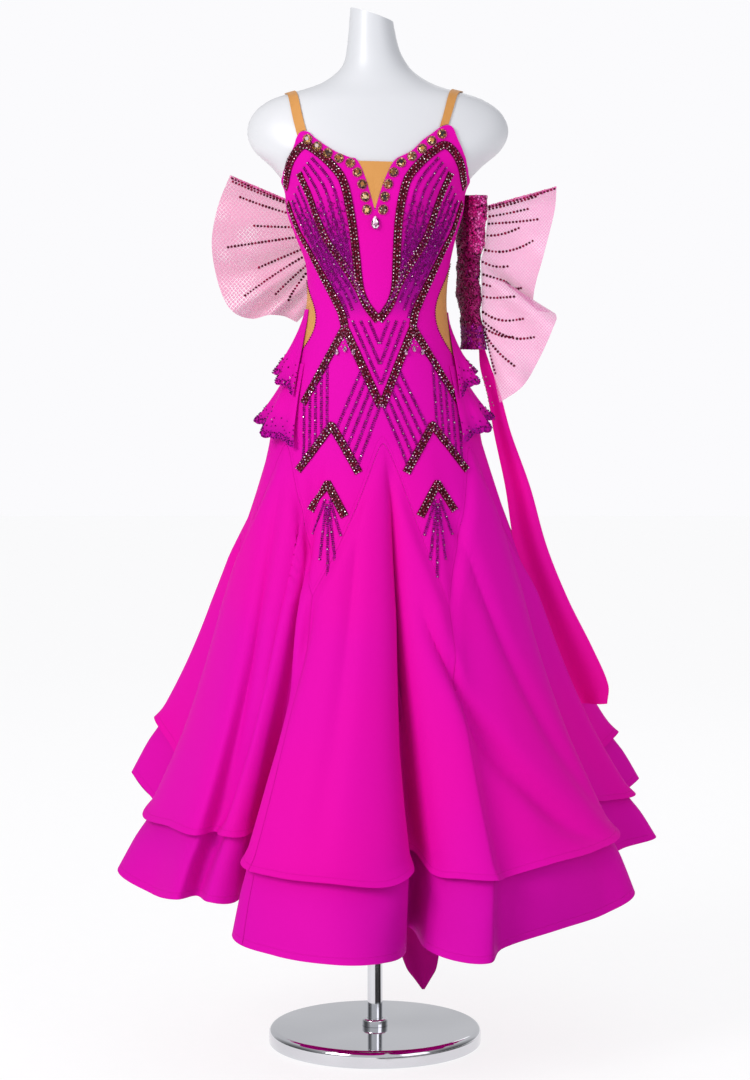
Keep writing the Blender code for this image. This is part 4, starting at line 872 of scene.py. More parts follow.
def mesh_finish():
    material, shader, start = finish("tan_power_mesh", {"Roughness": 0.58, "Sheen Weight": 0.15})
    x, y, _ = start.node("ShaderNodeUVMap", {"uv_map": "cut"}).axes()
    knit = ((x + y) * KNIT).sine() * ((x - y) * KNIT).sine()
    broad = noise(start, object_place(start), 14.0).step(0.3, 0.7)
    tone = (broad * 0.35).blend(TAN, TAN_WORN)
    tone = (knit.step(0.1, 0.8) * 0.25).blend(tone, TAN_DARK)
    plug(tone, shader, "Base Color")
    plug(bumped(start, knit, 0.0002, 0.4), shader, "Normal")
    return material


TAN_MESH = mesh_finish()

# %% Neck mesh and side lenses
# columns of the neck tables where the V's mesh starts and where it ends, near the point
V_TOP, V_POINT, V_GAPS = 2.0, 0.12, 2
INSERT_TRIM, LENS_GAPS = 0.007, 3

down = np.linspace(V_TOP, V_POINT, 30)[:, None]
neck_z = curve(NECK_RIGHT, down, 2), curve(NECK_LEFT, down, 2)
neck_a = curve(NECK_RIGHT, down, 1), curve(NECK_LEFT, down, 1)
across = np.linspace(0, 1, 17)[None, :]
insert_z = mix(neck_z[1], neck_z[0], across)
v_left, v_right = seam_shift(neck_a[1], neck_z[1], V_GAPS), seam_shift(neck_a[0], neck_z[0], -V_GAPS)
insert_angle = mix(v_left, v_right, across)
cloth("neck_mesh", insert_angle, insert_z, MESH_CLOTH, TAN_MESH, "tan_mesh", ["neck_insert"], "stretched")

for side, sign in (("left", -1), ("right", 1)):
    z = np.linspace(INSERT_TOP[side] - INSERT_TRIM, INSERT_LOW + INSERT_TRIM, 56)[:, None]
    near = seam_shift(sign * (90 - side_edge(REACH_FRONT, side, z)), z, LENS_GAPS * sign)
    far = seam_shift(sign * (90 + side_edge(REACH_BACK, side, z)), z, -LENS_GAPS * sign)
    lens_angle = mix(near, far, np.linspace(0, 1, 21)[None, :])
    cloth(f"side_lens_{side}", lens_angle, z + 0 * lens_angle, MESH_CLOTH, TAN_MESH, "tan_mesh",
          [f"side_mesh_{side}"], "stretched")

# %% [markdown]
# ## Shoulder straps
# A strap is a narrow tube of the tan mesh, pulled flat over the shoulder from the front edge to the low
# back. It is found by rays from a pivot under the shoulder: the form is the boundary between inside and
# outside, so halving the distance again and again lands on its skin, for all rays at once.

# %% Straps
STRAP_WIDTH, STRAP_AIR, STRAP_END_GAP, STRAP_PIVOT_Z = 0.014, 0.0012, 0.0006, 1.440
# rays turn, in radians, from a little below level in front, over the top, to steeply down behind
RAY_FRONT, RAY_TOP, RAY_BACK, RAY_REACH = -0.3, math.pi / 2, math.pi + 1.3, 0.25
HALVINGS = 36
# x of a strap's middle at its front end, over the shoulder and at its back end
STRAPS = {"left": (-0.1155, -0.1380, -0.0950), "right": (0.1090, 0.1345, 0.0920)}


def outside_form(x, y, z):
    """Above 0 outside the form, below 0 inside it."""
    z = np.clip(z, FORM_SECTIONS[-1, 0], FORM_SECTIONS[0, 0])
    depth = np.where(y < 0, curve(FORM_SECTIONS, z, 3), curve(FORM_SECTIONS, z, 4))
    return ((x - curve(FORM_SECTIONS, z, 2)) / curve(FORM_SECTIONS, z, 1)) ** 2 + (y / depth) ** 2 - 1


def form_ray(x, turn):
    """Where rays from the pivot, each in the plane of its x, leave the form."""
    near, far = np.zeros_like(turn), np.full_like(turn, RAY_REACH)
    for _ in range(HALVINGS):
        reach = (near + far) / 2
        inside = outside_form(x, -reach * np.cos(turn), STRAP_PIVOT_Z + reach * np.sin(turn)) < 0
        near, far = np.where(inside, reach, near), np.where(inside, far, reach)
    return points(x, -near * np.cos(turn), STRAP_PIVOT_Z + near * np.sin(turn))


def strap_end(x, edge_angle, edge_z, stop, wrap):
    """The ray angles where a strap, followed down from the shoulder, meets a bodice's top edge."""
    start, stop = np.full_like(x, RAY_TOP), np.full_like(x, stop)
    for _ in range(HALVINGS):
        middle = (start + stop) / 2
        px, py, pz = np.moveaxis(form_ray(x, middle), -1, 0)
        depth = np.where(py < 0, curve(FORM_SECTIONS, pz, 3), curve(FORM_SECTIONS, pz, 4))
        level = (px - curve(FORM_SECTIONS, pz, 2)) / curve(FORM_SECTIONS, pz, 1)
        angle = np.degrees(np.arctan2(level, -py / depth))
        angle = np.where(wrap & (angle < 0), angle + 360, angle)
        high = pz > np.interp(angle, edge_angle, edge_z) + STRAP_END_GAP
        start, stop = np.where(high, middle, start), np.where(high, stop, middle)
    return start


def cross_out(grid):
    """The direction across a sheet at each of its points."""
    return unit(np.cross(np.gradient(grid, axis=0), np.gradient(grid, axis=1)))


shift = np.linspace(-STRAP_WIDTH / 2, STRAP_WIDTH / 2, 9)
for side, (x_front, x_top, x_back) in STRAPS.items():
    starts = strap_end(x_front + shift, front_angle[0], front_z[0], RAY_FRONT, False)
    ends = strap_end(x_back + shift, back_angle[0], back_z[0], RAY_BACK, True)
    turn = mix(starts, ends, np.linspace(0, 1, 140)[:, None])
    fore = mix(x_front, x_top, (turn - starts) / (RAY_TOP - starts))
    aft = mix(x_top, x_back, (turn - RAY_TOP) / (ends - RAY_TOP))
    middle = form_ray(np.where(turn < RAY_TOP, fore, aft) + shift, turn)
    out = cross_out(middle)
    out = out * np.sign(np.sum(out * (middle - np.array((0, 0, STRAP_PIVOT_Z))), -1, keepdims=True))
    outer, inner = middle + out * (STRAP_AIR + MESH_CLOTH), middle + out * STRAP_AIR
    strap = seat(wall(f"strap_tape_{side}", outer, inner, TAN_MESH), "tan_mesh", f"strap_{side}")
    declare(strap, outer, "stretched")

# %% [markdown]
# ## Godets and their under-flounces
# Each godet's grid fans out from its apex: down the seams first, then past the panel tips to the hem. It
# rolls out by almost a centimetre beside its seams, as gathered-in cloth does. The last centimetres kick
# outwards over the stiffened under-flounce, which starts inside them and hangs lower. Between the tall hem
# folds lie long soft creases of uneven depth that belong to the same surface.

# %% Godets and bands
KICK_HIGH = 0.025
APEX_ROUND, ACROSS, SEAM_ROWS, BAND_ROWS = 0.05, 110, 26, 26
# rows from the panel tips to the hem, closer together in the last share of the way, where the cloth kicks
KICK_SHARE, FALL_ROWS, KICK_ROWS = 0.93, 24, 9
PUFF, PUFF_WIDE, PUFF_BELOW_APEX, PUFF_FADE = 0.0095, 0.012, 0.10, (0.52, 0.72)
BAND_TURN = 0.1


def godet_grid(name):
    """Angle and height of every point of a godet, apex first."""
    apex, apex_z, left, left_z, right, right_z = GODETS[name]
    root = np.linspace(APEX_ROUND, 1, SEAM_ROWS)[:, None]
    low_angle, low_z = seam(apex, apex_z, left, left_z, root)
    high_angle, high_z = seam(apex, apex_z, right, right_z, root)
    low_angle = seam_shift(low_angle, low_z - SEAM, 1)
    high_angle = seam_shift(high_angle, high_z - SEAM, -1)
    share = np.linspace(0, 1, ACROSS)[None, :]
    upper_angle, upper_z = mix(low_angle, high_angle, share), mix(low_z, high_z, share) - SEAM
    fall, kick = np.linspace(0, KICK_SHARE, FALL_ROWS)[1:], np.linspace(KICK_SHARE, 1, KICK_ROWS)[1:]
    below = np.concatenate([fall, kick])[:, None]
    tip_angle, hem_z = upper_angle[-1:], hem_at(upper_angle[-1], 1)[None, :, 2]
    lower_z = mix(upper_z[-1:], hem_z, below)
    return np.concatenate([upper_angle, tip_angle + 0 * below]), np.concatenate([upper_z, lower_z]), hem_z


def puffed(outer, angle, z):
    """How far a godet rolls out beside its seams: most beside the panel tips, nothing at apex or hem."""
    from_left = np.linalg.norm(outer - outer[:, :1], axis=-1)
    from_right = np.linalg.norm(outer - outer[:, -1:], axis=-1)
    near = np.minimum(from_left, from_right)
    below_apex = np.clip((z[0].max() - z) / PUFF_BELOW_APEX, 0, 1)
    above_hem = np.clip((z - PUFF_FADE[0]) / np.ptp(PUFF_FADE), 0, 1)
    roll = (1 - np.exp(-(near / PUFF_WIDE) ** 2)) * (below_apex * above_hem) * PUFF
    return (outward(dress_at, angle, z) * (1, 1, 0)) * roll[..., None]


for name in GODETS:
    angle, z, hem_z = godet_grid(name)
    outer, inner = skins(angle, z, CLOTH)
    puff = puffed(outer, angle, z)
    outer, inner = outer + puff, inner + puff
    out = outward(dress_at, angle, z) * (1, 1, 0)
    kick = unit(unit(out) + unit(outer * (1, 1, 0)))
    kick = kick * (LAYER_KICK * np.clip(1 - (z - hem_z) / KICK_HIGH, 0, 1) ** 2)[..., None]
    godet = seat(wall(f"godet_cloth_{name}", outer + kick, inner + kick, CREPE), "crepe", f"godet_{name}")
    declare(godet, outer + kick, "hung")

    edge_angle, edge_z = angle[-1:], hem_z + LAYER_LAP
    out = outward(dress_at, edge_angle, edge_z)
    start = dress_at(edge_angle, edge_z) - out * (CLOTH + 2 * SEAT)
    end = hem_at(edge_angle, 4)
    fall = np.linspace(0, 1, BAND_ROWS)[:, None]
    spread = curve(BAND_SPREAD, fall, 1)[..., None]
    outer = mix(start, end, spread)
    outer[..., 2] = mix(start[..., 2], end[..., 2], fall)
    level = unit(out * (1, 1, 0))
    inner = outer - mix(out, level, np.clip(fall / BAND_TURN, 0, 1)[..., None]) * CLOTH
    band = seat(wall(f"flounce_{name}", outer, inner, BAND), "crepe", f"band_{name}")
    declare(band, outer, "hung")

# %% [markdown]
# ## Hip flounces
# Two tiers of flounce stand out over each hip. They are cut as part circles, so the upper edge is short
# and the hem is long, and the extra length falls in waves. The hem is cut in small even scallops, and
# violet dye has been sprayed into it.

# %% Hip flounces
# sign of the side, z of the top edge, z of the hem in front and behind, angle of the front edge at the top
# and at the hem, angle of the back edge, flare
PEPLUMS = {
    "left_upper": (-1, 1.205, 1.069, 1.122, 72.0, 55.0, 112.0, 0.018),
    "left_lower": (-1, 1.118, 0.987, 1.046, 57.0, 46.0, 120.0, 0.023),
    "right_upper": (1, 1.200, 1.065, 1.126, 86.0, 58.0, 128.0, 0.021),
    "right_lower": (1, 1.114, 0.994, 1.048, 62.0, 51.0, 120.0, 0.022),
}
PEPLUM_WAVES, PEPLUM_AIR, PEPLUM_SWELL, PEPLUM_STRAIGHT, WAVE_DROP = 3.5, 0.0008, 0.28, 0.25, 0.0030
PEPLUM_EDGE, PEPLUM_EDGE_REACH = 0.35, 0.30
SCALLOPS, SCALLOP_DROP, SCALLOP_ROUND = 13, 0.0022, 0.7
DYE_TALL, DYE_SOFT, DYE = 0.38, 1.5, {"upper": 0.55, "lower": 0.9}
PEPLUM_SHEETS = {}
FLOUNCE_CREPE = crepe_finish("hip_flounce_crepe", FUCHSIA, FUCHSIA_COOL, stitched=False, tinted=True)

for name, (sign, z_top, hem_front, hem_back, start_top, start_hem, stop, flare) in PEPLUMS.items():
    down = np.linspace(0, 1, 28)[:, None]
    along = np.linspace(0, 1, 130)[None, :]
    wave = np.cos(2 * np.pi * PEPLUM_WAVES * along)
    scallop = np.abs(np.sin(np.pi * SCALLOPS * along)) ** SCALLOP_ROUND
    angle = sign * mix(mix(start_top, start_hem, down), stop, along)
    z = mix(z_top, mix(hem_front, hem_back, along) - WAVE_DROP * wave - SCALLOP_DROP * scallop, down)
    edge_share = mix(PEPLUM_EDGE, 1, np.clip(along / PEPLUM_EDGE_REACH, 0, 1))
    fall = mix(down ** 2, down, PEPLUM_STRAIGHT) * edge_share
    lift = PEPLUM_AIR + NET + flare * fall * (1 + PEPLUM_SWELL * wave)
    out = outward(dress_at, angle, z)
    outer = dress_at(angle, z) + out * lift[..., None]
    PEPLUM_SHEETS[name] = (outer, cross_out(outer) * sign)
    peplum = wall(f"hip_flounce_{name}", outer, outer - out * NET, FLOUNCE_CREPE)
    dye = np.clip((down - (1 - DYE_TALL)) / DYE_TALL, 0, 1) ** DYE_SOFT * DYE[name.split("_")[1]]
    store(peplum.data, "violet", dye + 0 * along)
    declare(seat(peplum, "crepe", f"peplum_{name}"), outer, "hung")

# %% [markdown]
# ## Arm tubes
# A flattened tube of sequinned net stands behind each side of the bodice, where an arm would wear it. Its
# sections are ovals that swell and narrow down its length, with shallow wrinkles where the net is pushed
# together. The cloth under the sequins is dark.

# %% Arm tubes
# share of the length, half thickness, half width, how far the right tube bows in to the waist
ARM_SECTIONS = np.array((
    (0.00, 0.0195, 0.038, 0.000), (0.14, 0.0205, 0.040, 0.001), (0.32, 0.0190, 0.037, 0.006),
    (0.42, 0.0150, 0.034, 0.011), (0.58, 0.0170, 0.036, 0.013), (0.78, 0.0130, 0.032, 0.008),
    (0.88, 0.0150, 0.034, 0.003), (1.00, 0.0160, 0.036, 0.000),
))
ARM_TOP, ARM_BOTTOM, ARM_LEAN = 1.389, 1.140, 0.004
ARM_ROWS, ARM_SPOKES = 62, 74
# how deep the net is drawn in along the tube, and the share of a wrinkle that shows in it
ARM_DENT, WRINKLE_SHARE = 0.0024, 0.8
SEQUIN_BUMPS = 2100
# side: angle round the body, how far below its top the tube touches it, the air there, share of the bow
ARM_PLACES = {"left": (-150.0, 0.005, -0.0048, 0.0), "right": (106.0, 0.030, 0.0006, 0.7)}


def sequin_net_finish():
    material, shader, start = finish("dark_sequin_net", {"Metallic": 0.25})
    x, y, _ = start.node("ShaderNodeUVMap", {"uv_map": "cut"}).axes()
    rows = (x * SEQUIN_BUMPS).sine() * (y * SEQUIN_BUMPS).sine()
    patch = noise(start, object_place(start), 60.0).step(0.35, 0.65)
    tone = patch.blend((0.20, 0.001, 0.075, 1), (0.36, 0.002, 0.14, 1))
    plug(rows.step(0.0, 0.8).blend(tone, (0.62, 0.01, 0.28, 1)), shader, "Base Color")
    plug(0.50 - rows.step(0.0, 1.0) * 0.25, shader, "Roughness")
    plug(bumped(start, rows, 0.0006, 0.6), shader, "Normal")
    return material


SEQUIN_NET = sequin_net_finish()


def arm_axes(side):
    """The tube's middle, its thin axis and its wide axis."""
    angle, seat_drop, air, bow = ARM_PLACES[side]
    seat_z = np.array(ARM_TOP - seat_drop)
    out = unit(outward(dress_at, angle, seat_z) * (1, 1, 0))
    place = dress_at(angle, seat_z)
    share = ARM_SECTIONS[:, 0]
    beside = dress_at(angle + 0 * share, mix(ARM_TOP, ARM_BOTTOM, share))
    reach = max(0.0, float((ARM_SECTIONS[:, 1] + ARM_SECTIONS[:, 3] * bow + (beside - place) @ out).max()))
    return place + out * (reach + air), out, np.array((-out[1], out[0], 0))


def arm_at(side, share, turn, inset):
    """Points on the tube: share of its length from the top, turn round it, and how far inside its skin."""
    middle, thin, wide = arm_axes(side)
    half_thin = (line(ARM_SECTIONS, share, 1) - inset)[..., None]
    half_wide = (line(ARM_SECTIONS, share, 2) - inset)[..., None]
    z = mix(ARM_TOP, ARM_BOTTOM, share)
    lean = ARM_LEAN * share - line(ARM_SECTIONS, share, 3) * ARM_PLACES[side][3]
    flat = points(middle[0], middle[1], z) + thin * lean[..., None]
    return flat + thin * half_thin * np.cos(turn)[..., None] + wide * half_wide * np.sin(turn)[..., None]


TUBE_DENTS = {}
for side in ARM_PLACES:
    share = np.linspace(0, 1, ARM_ROWS)[:, None]
    turn = np.linspace(0, 2 * np.pi, ARM_SPOKES, endpoint=False)[None, :]
    share, turn = np.broadcast_arrays(share, turn)
    # three ripples of different depth and length, which die out at both ends
    ends = np.sin(np.pi * share) ** 0.5
    wrinkle = (0.0016 * np.sin(share * 34 + 1.9 * np.sin(turn * 2 + 0.6))
               + 0.0009 * np.sin(share * 71 + turn * 3) + 0.0011 * np.sin(share * 19 - turn * 2)) * ends
    dent = ARM_DENT * ends - wrinkle * WRINKLE_SHARE
    TUBE_DENTS[side] = dent
    outer, inner = arm_at(side, share, turn, dent), arm_at(side, share, turn, dent + NET)
    tube = wall(f"arm_tube_{side}", outer, inner, SEQUIN_NET, closed=True)
    seat(tube, "sequin", f"armband_{side}")
    declare(tube, np.concatenate([outer, outer[:, :1]], 1), "gathered")

# %% [markdown]
# ## Wings of net
# Each wing is a fan of stiff net from the outer side of an arm tube to its own shaped edge. The net is
# see-through: it is a lattice of crossing threads with a film of tint between them. The lattice is drawn
# across and up, as the net hangs, a little noise bends its lines, and it sets how see-through each spot is.

# %% Net wings
WING_FOLDS, WING_FOLD_DEPTH, WING_ROWS, WING_COLUMNS = 5, 0.005, 136, 34
# z of the wing's top and bottom at the tube, then its outer edge: share down the wing, x, y, z
WINGS = {
    "right": (1.372, 1.165, np.array((
        (0.00, 0.292, -0.012, 1.4020), (0.12, 0.290, 0.012, 1.3620), (0.24, 0.272, -0.010, 1.2940),
        (0.36, 0.258, 0.018, 1.2330), (0.42, 0.262, 0.044, 1.2060), (0.48, 0.291, -0.004, 1.1980),
        (0.60, 0.284, -0.030, 1.1700), (0.74, 0.258, -0.008, 1.1110), (0.87, 0.236, -0.030, 1.0800),
        (1.00, 0.202, -0.010, 1.0550)))),
    "left": (1.372, 1.205, np.array((
        (0.00, -0.236, 0.050, 1.4230), (0.14, -0.258, 0.078, 1.3720), (0.28, -0.266, 0.044, 1.3120),
        (0.42, -0.258, 0.074, 1.2500), (0.55, -0.236, 0.046, 1.2050), (0.68, -0.205, 0.078, 1.1900),
        (0.80, -0.175, 0.062, 1.1960), (0.90, -0.150, 0.084, 1.1940), (1.00, -0.129, 0.092, 1.1840)))),
}
NET_SLOPE, NET_FILM, NET_SPARKLE = 0.9, 0.44, 0.10


def net_finish(name, film, thread, cell, strength):
    """Crossing threads over a film; strength is how much more solid the threads are than the film."""
    material, shader, start = finish(name, {"Roughness": 0.45, "Sheen Weight": 0.2})
    x, _, y = object_place(start).axes()
    turn = math.pi / cell
    wobble = noise(start, object_place(start), 70.0, 2.0) * cell
    first = ((x + y * NET_SLOPE + wobble) * turn).sine().size()
    second = ((x - y * NET_SLOPE + wobble) * turn).sine().size()
    threads = 1 - first.least(second).step(0.12, 0.48)
    sparkle = noise(start, object_place(start), 420.0, 1.0).step(0.58, 0.72)
    patch = noise(start, object_place(start), 16.0, 2.0).step(0.35, 0.7)
    plug((threads * (0.25 + 0.75 * patch)).blend(film, thread), shader, "Base Color")
    solid = NET_FILM + threads * patch * strength + sparkle * NET_SPARKLE
    plug(solid.least(1.0), shader, "Alpha")
    plug(bumped(start, threads, 0.0004, 0.4), shader, "Normal")
    return material


NETS = {
    "right": net_finish("stiff_net_right", (0.88, 0.24, 0.56, 1), (0.98, 0.62, 0.84, 1), 0.0050, 0.08),
    "left": net_finish("stiff_net_left", (0.86, 0.17, 0.46, 1), (1.0, 1.0, 1.0, 1), 0.0066, 0.56),
}


def wing_at(side, down, reach):
    """Points on the middle of a wing's net: share down it, and share of the way out from the tube."""
    top, bottom, edge = WINGS[side]
    share = (ARM_TOP - mix(top, bottom, down)) / (ARM_TOP - ARM_BOTTOM)
    _, thin, wide = arm_axes(side)
    half_thin, half_wide = line(ARM_SECTIONS, share, 1), line(ARM_SECTIONS, share, 2)
    turn = np.arctan2(wide[0] * half_wide, thin[0] * half_thin) + (0 if side == "right" else np.pi)
    start = arm_at(side, share, turn, -2 * SEAT)
    end = points(*[curve(edge, down, axis) for axis in (1, 2, 3)])
    place = mix(start, end, reach[..., None])
    place[..., 1] += WING_FOLD_DEPTH * np.sin(np.pi * reach) * np.sin(2 * np.pi * WING_FOLDS * down)
    return place


for side in WINGS:
    down = np.linspace(0, 1, WING_ROWS)[:, None]
    down, reach = np.broadcast_arrays(down, np.linspace(0, 1, WING_COLUMNS)[None, :])
    sheet_points = wing_at(side, down, reach)
    half = cross_out(sheet_points) * NET / 2
    net = wall(f"net_fan_{side}", sheet_points + half, sheet_points - half, NETS[side])
    declare(seat(net, "net", f"wing_{side}"), sheet_points, "hung")

# %% [markdown]
# ## Float and tail
# A long float hangs from the right arm tube, folded once down its length, and a pointed panel hangs inside
# the front of the skirt. Both are the gown's crepe: the float's is a brightened copy, painted light on its
# shaded folds, and the inner panel's a darkened copy, painted shade for the shadow inside the skirt.

# %% Float and tail
# z, x of the inner and outer edge, y
FLOAT_ROWS = np.array((
    (1.1397, 0.170, 0.180, 0.0500), (1.110, 0.172, 0.190, 0.044), (1.063, 0.184, 0.206, 0.036),
    (1.005, 0.194, 0.222, 0.032), (0.916, 0.213, 0.254, 0.032), (0.818, 0.229, 0.282, 0.037),
    (0.730, 0.257, 0.318, 0.050), (0.645, 0.286, 0.361, 0.066), (0.583, 0.312, 0.388, 0.079),
    (0.550, 0.336, 0.387, 0.087),
))
# z, x of the middle, half width, y
TAIL_ROWS = np.array((
    (0.620, 0.0300, 0.006, -0.1571), (0.560, 0.0330, 0.013, -0.155), (0.430, 0.0450, 0.022, -0.153),
    (0.300, 0.0580, 0.030, -0.150), (0.200, 0.0700, 0.032, -0.150), (0.160, 0.0740, 0.024, -0.150),
    (0.140, 0.0760, 0.012, -0.150), (0.124, 0.0770, 0.002, -0.150),
))
# the float's fold is fully grown a share of 1 / FLOAT_GROWN down, the tail's where it is TAIL_WIDE
FLOAT_FOLD, FLOAT_GROWN, TAIL_FOLD, TAIL_WIDE, TAIL_CLOSER = 0.006, 14 / 6, 0.007, 0.03, 0.8
HALF_CLOTH = np.array((0, CLOTH / 2, 0))

fall = np.linspace(0, 1, 90)[:, None]
z = mix(FLOAT_ROWS[0, 0], FLOAT_ROWS[-1, 0], fall)
across = np.linspace(0, 1, 30)[None, :]
fold = FLOAT_FOLD * np.minimum(fall * FLOAT_GROWN, 1) * np.sin(2 * np.pi * across)
x = mix(curve(FLOAT_ROWS, z, 1), curve(FLOAT_ROWS, z, 2), across)
FLOAT_MIDDLE = points(x, curve(FLOAT_ROWS, z, 3) + fold, z)
# the float's crepe is a brightened copy: painted light on folds that face away from the lights
FLOAT_PAINTED_LIGHT_CREPE = crepe_finish("float_painted_light_crepe", (0.93, 0.0025, 0.38, 1), (0.86, 0.0025, 0.38, 1), stitched=False)
float_cloth = wall("arm_float", FLOAT_MIDDLE - HALF_CLOTH, FLOAT_MIDDLE + HALF_CLOTH, FLOAT_PAINTED_LIGHT_CREPE)
declare(seat(float_cloth, "crepe", "float_right"), FLOAT_MIDDLE, "hung")

z = mix(TAIL_ROWS[0, 0], TAIL_ROWS[-1, 0], fall ** TAIL_CLOSER)
across = np.linspace(-1, 1, 25)[None, :]
half = curve(TAIL_ROWS, z, 2)
fold = TAIL_FOLD * np.minimum(half / TAIL_WIDE, 1) * np.cos(np.pi * across)
middle = points(curve(TAIL_ROWS, z, 1) + half * across, curve(TAIL_ROWS, z, 3) + fold, z)
# the tail's crepe is a darkened copy: painted shade for the shadow inside the skirt
TAIL_PAINTED_SHADE_CREPE = crepe_finish("inner_tail_painted_shade_crepe", (0.55, 0.002, 0.26, 1), (0.45, 0.002, 0.24, 1))
tail = wall("inner_tail", middle - HALF_CLOTH, middle + HALF_CLOTH, TAIL_PAINTED_SHADE_CREPE)
declare(seat(tail, "crepe", "tail_panel"), middle, "hung")

# %% [markdown]
# ## Growing beads with Geometry Nodes
# Thousands of beads are sewn in rows or scattered. Two small kinds of node tree do all of it. One walks
# along sewn lines, puts a bead at even steps, tips it to the cloth's outward direction and varies it a
# little. The other scatters over a patch of cloth and never puts two beads closer than a set distance. Both
# end by making the instances real, and the result is kept as a plain mesh. A bead has 20 faces and a gem or
# a sequin 9, because there are so many of them.

# %% Bead trees
SHAPES = {
    "bead": ("GeometryNodeMeshIcoSphere", {"Radius": 0.5, "Subdivisions": 1}),
    "gem": ("GeometryNodeMeshCone", {"Vertices": 7, "Radius Top": 0.27, "Radius Bottom": 0.5,
                                     "Depth": 0.34}),
    "sequin": ("GeometryNodeMeshCone", {"Vertices": 7, "Radius Top": 0.10, "Radius Bottom": 0.5,
                                        "Depth": 0.13}),
}
DENSEST, ANY_TURN, SIZES_FROM, SIZES_TO = 900000.0, 6.3, 0.86, 1.10


def bead_tree(name, shape, scattered):
    """A tree that dresses sewn lines, or a patch of cloth, with one shape of bead."""
    tree = bpy.data.node_groups.new(name, "GeometryNodeTree")
    face = tree.interface
    face.new_socket("Ground", in_out="INPUT", socket_type="NodeSocketGeometry")
    for label in ("Step", "Size", "Tilt"):
        face.new_socket(label, in_out="INPUT", socket_type="NodeSocketFloat")
    face.new_socket("Seed", in_out="INPUT", socket_type="NodeSocketInt")
    face.new_socket("Finish", in_out="INPUT", socket_type="NodeSocketMaterial")
    face.new_socket("Beads", in_out="OUTPUT", socket_type="NodeSocketGeometry")
    entry = tree.nodes.new("NodeGroupInput")
    ground, step, size, tilt, seed, bead_material = [Wire(tree, entry.outputs[k]) for k in range(6)]
    start = Wire(tree)
    if scattered:
        share = start.node("GeometryNodeInputNamedAttribute", {"data_type": "FLOAT"}, {"Name": "share"})
        places = start.node("GeometryNodeDistributePointsOnFaces", {"distribute_method": "POISSON"},
                            {"Mesh": ground, "Distance Min": step, "Density Max": DENSEST,
                             "Density Factor": share, "Seed": seed})
    else:
        run = start.node("GeometryNodeMeshToCurve", None, {"Mesh": ground})
        places = start.node("GeometryNodeResampleCurve", {"mode": "LENGTH"}, {"Curve": run, "Length": step})
    out = start.node("GeometryNodeInputNamedAttribute", {"data_type": "FLOAT_VECTOR"}, {"Name": "out"})
    upright = start.node("FunctionNodeAlignRotationToVector", {"axis": "Z"}, {"Vector": out})
    spin = start.node("FunctionNodeRandomValue", {"data_type": "FLOAT_VECTOR"},
                      {0: (-1.0, -1.0, -ANY_TURN), 1: (1.0, 1.0, ANY_TURN), 8: seed})
    lean = start.node("ShaderNodeVectorMath", {"operation": "MULTIPLY"},
                      {0: spin, 1: start.node("ShaderNodeCombineXYZ", None, {0: tilt, 1: tilt, 2: 1.0})})
    turn = start.node("FunctionNodeEulerToRotation", None, {"Euler": lean})
    upright = start.node("FunctionNodeRotateRotation", {"rotation_space": "LOCAL"},
                         {"Rotation": upright, "Rotate By": turn})
    vary = start.node("FunctionNodeRandomValue", {"data_type": "FLOAT"},
                      {2: SIZES_FROM, 3: SIZES_TO, 8: seed + 7}, 1)
    kind, sizes = SHAPES[shape]
    sewn = start.node("GeometryNodeInstanceOnPoints", None,
                      {"Points": places, "Instance": start.node(kind, None, sizes),
                       "Rotation": upright, "Scale": size * vary})
    tone = start.node("FunctionNodeRandomValue", {"data_type": "FLOAT"}, {2: 0.0, 3: 1.0, 8: seed + 3}, 1)
    stored = start.node("GeometryNodeStoreNamedAttribute", {"data_type": "FLOAT", "domain": "INSTANCE"},
                        {"Geometry": sewn, "Name": "tone", "Value": tone})
    real = start.node("GeometryNodeRealizeInstances", None, {"Geometry": stored})
    shaded = start.node("GeometryNodeSetShadeSmooth", None,
                        {"Geometry": real, "Shade Smooth": shape == "bead"})
    made = start.node("GeometryNodeSetMaterial", None, {"Geometry": shaded, "Material": bead_material})
    leave = tree.nodes.new("NodeGroupOutput")
    tree.links.new(made.socket, leave.inputs[0])
    return tree


TREES = {(shape, scattered): bead_tree(f"{shape}_{'scatter' if scattered else 'rows'}", shape, scattered)
         for shape in SHAPES for scattered in (False, True)}


def grow(name, ground, shape, scattered, finish_of, slot, **sizes):
    """Runs a bead tree on a ground mesh and keeps what it made as a plain mesh that rides the gown."""
    piece = bpy.data.objects.new(name, ground)
    scene.collection.objects.link(piece)
    growth = piece.modifiers.new("beads", "NODES")
    growth.node_group = TREES[shape, scattered]
    values = {"Finish": finish_of, **sizes}
    for socket in growth.node_group.interface.items_tree:
        if socket.in_out == "INPUT" and socket.name in values:
            growth[socket.identifier] = values[socket.name]
    seen = piece.evaluated_get(bpy.context.evaluated_depsgraph_get())
    grown = bpy.data.meshes.new_from_object(seen)
    piece.modifiers.clear()
    piece.data = grown
    grown.name = name
    seat(piece, slot)
    print(f"{name}: {len(grown.polygons)} faces")
    return piece


def sewn_lines(lines):
    """A mesh of open lines from (points, outward directions) pairs."""
    edges, first = [], 0
    for place, _ in lines:
        edges += [(first + k, first + k + 1) for k in range(len(place) - 1)]
        first += len(place)
    mesh = bpy.data.meshes.new("lines")
    mesh.from_pydata(np.concatenate([p for p, _ in lines]).tolist(), edges, [])
    layer = mesh.attributes.new("out", "FLOAT_VECTOR", "POINT")
    layer.data.foreach_set("vector", np.concatenate([o for _, o in lines]).astype(np.float32).ravel())
    return mesh


